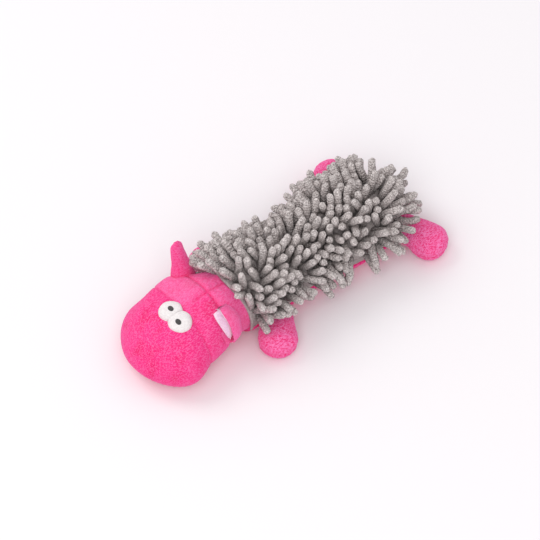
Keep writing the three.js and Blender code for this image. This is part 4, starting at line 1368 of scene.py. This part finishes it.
filling = closed_skin(
    "filling", HEAD, rings=40, sides=48, neck_radius=NECK_RADIUS - FILLING_INSET, inset=FILLING_INSET,
)
sew(filling, [], puff=0, lump_depth=0.8 * MM, lump_size=9 * MM, seed=50)
add_filling("head_filling", filling, "head")
for name, keep in (("trunk_filling_lower", -1), ("trunk_filling_upper", 1)):
    filling = closed_skin(
        "filling", TRUNK, rings=70, sides=60, neck_radius=NECK_RADIUS + FILLING_INSET, inset=FILLING_INSET,
    )
    sew(filling, [], puff=0, lump_depth=0.8 * MM, lump_size=9 * MM, seed=51)
    points = read_points(filling)
    pocket = np.hypot(points[:, 0], points[:, 1]) < POCKET_RADIUS
    if keep < 0:
        points[:, 2] = np.minimum(points[:, 2], np.where(pocket, POCKET_LOW, SPLIT_HEIGHT - SPLIT_GAP))
    else:
        points[:, 2] = np.maximum(points[:, 2], np.where(pocket, POCKET_HIGH, SPLIT_HEIGHT + SPLIT_GAP))
    write_points(filling, points)
    add_filling(name, filling, "trunk")
for name, values in LEGS.items():
    filling = closed_skin("filling", LEG, rings=24, sides=32, inset=FILLING_INSET)
    points = to_frame(leg_matrix(*values), lift_leg(name, read_points(filling)))
    write_points(filling, TRUNK.push_out(points, LEG_FILLING_GAP))
    sew(filling, [], puff=0, lump_depth=0.6 * MM, lump_size=7 * MM, seed=52)
    add_filling(f"{name}_filling", filling, name)
print("fillings", len(fillings))

# %% [markdown]
# ## Bodies and finishes
# Each piece now rides on the body that it moves with, stands for the plain solids of the packed
# model, and takes its finish. The squeaker's plastic parts keep their own solids.

# %% Give each piece its body and its finish
def finish_piece(piece, body, material):
    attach(piece, body)
    piece.data.materials.clear()
    piece.data.materials.append(material)


HEAD_PANELS = ["muzzle_panel", "forehead_panel", "crown_panel_left", "crown_panel_right", "chin_panel"]
finish_piece(head_cloth, "head", pink)
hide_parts(*HEAD_PANELS)
finish_piece(belly_cloth, "trunk", pink)
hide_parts("belly_panel")
finish_piece(backing, "trunk", grey_cloth)
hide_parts(*MOP_SLICES)
for name, leg in leg_cloths.items():
    finish_piece(leg, name, pink_combed)
    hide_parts(f"{name}_cover")
for piece, body in ear_pieces:
    outside = piece.name.endswith("back")
    material, slot = (pink, "pink_plush") if outside else (pale, "pale_plush")
    finish_piece(piece, body, material)
for piece in eye_pieces:
    is_pad = piece.name.endswith("pad")
    material, slot = (white, "white_felt") if is_pad else (dark_thread, "black_felt")
    finish_piece(piece, "head", material)
for name in ("squeaker_cup", "squeaker_bellows", "squeaker_reed_tube", "squeaker_reed"):
    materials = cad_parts[name].data.materials
    materials.clear()
    materials.append(reed_brass if name == "squeaker_reed" else squeaker_plastic)

# %% [markdown]
# ## Floor and light
# The photograph is bright and even, on white, with a faint soft shadow. A large lamp high on the
# toy's right gives the shadow, a wider one on the camera's side fills it, and the world adds light
# from all round. The floor is nearly white, and the world is white where the camera sees it directly.

# %% Floor, world and lamps
FLOOR_WIDTH = 8.0
bpy.ops.mesh.primitive_plane_add(size=FLOOR_WIDTH)
floor = bpy.context.object
floor.name = "floor"
floor_shader = Shader("pale_floor")
mottle = floor_shader.noise(floor_shader.position(), 3.0)
floor_shader.set(
    Base_Color=floor_shader.mix(mottle * 0.3, rgb(246, 242, 245), rgb(244, 240, 243)),
    Roughness=0.9,
    Specular_IOR_Level=0.1,
)
floor.data.materials.append(floor_shader.material)

AMBIENT = 0.74
world = bpy.data.worlds.new("studio")
bpy.context.scene.world = world
world.use_nodes = True
tree = world.node_tree
path = node(tree, "ShaderNodeLightPath")
seen = math_node(tree, "MAXIMUM", path.outputs["Is Camera Ray"], path.outputs["Is Glossy Ray"])
seen = math_node(tree, "MAXIMUM", seen, path.outputs["Is Transmission Ray"])
strength = math_node(tree, "ADD", math_node(tree, "MULTIPLY", seen, 1 - AMBIENT), AMBIENT)
tree.nodes["Background"].inputs["Color"].default_value = (1, 1, 1, 1)
tree.links.new(strength, tree.nodes["Background"].inputs["Strength"])


def add_lamp(name, place, size, power):
    data = bpy.data.lights.new(name, "AREA")
    data.shape = "DISK"
    data.size = size
    data.energy = power
    lamp = bpy.data.objects.new(name, data)
    bpy.context.scene.collection.objects.link(lamp)
    lamp.location = place
    lamp.rotation_euler = (Vector(place) - CAMERA_TARGET).to_track_quat("Z", "Y").to_euler()


add_lamp("key", (-1.1, -0.6, 1.5), size=1.1, power=8.5)
add_lamp("fill", (0.9, -0.9, 1.6), size=1.4, power=12)
bpy.context.scene.view_settings.view_transform = "Standard"
print("lamps", [data.name for data in bpy.data.lights])

# %% [markdown] Dressing the toy mustn't change its size.
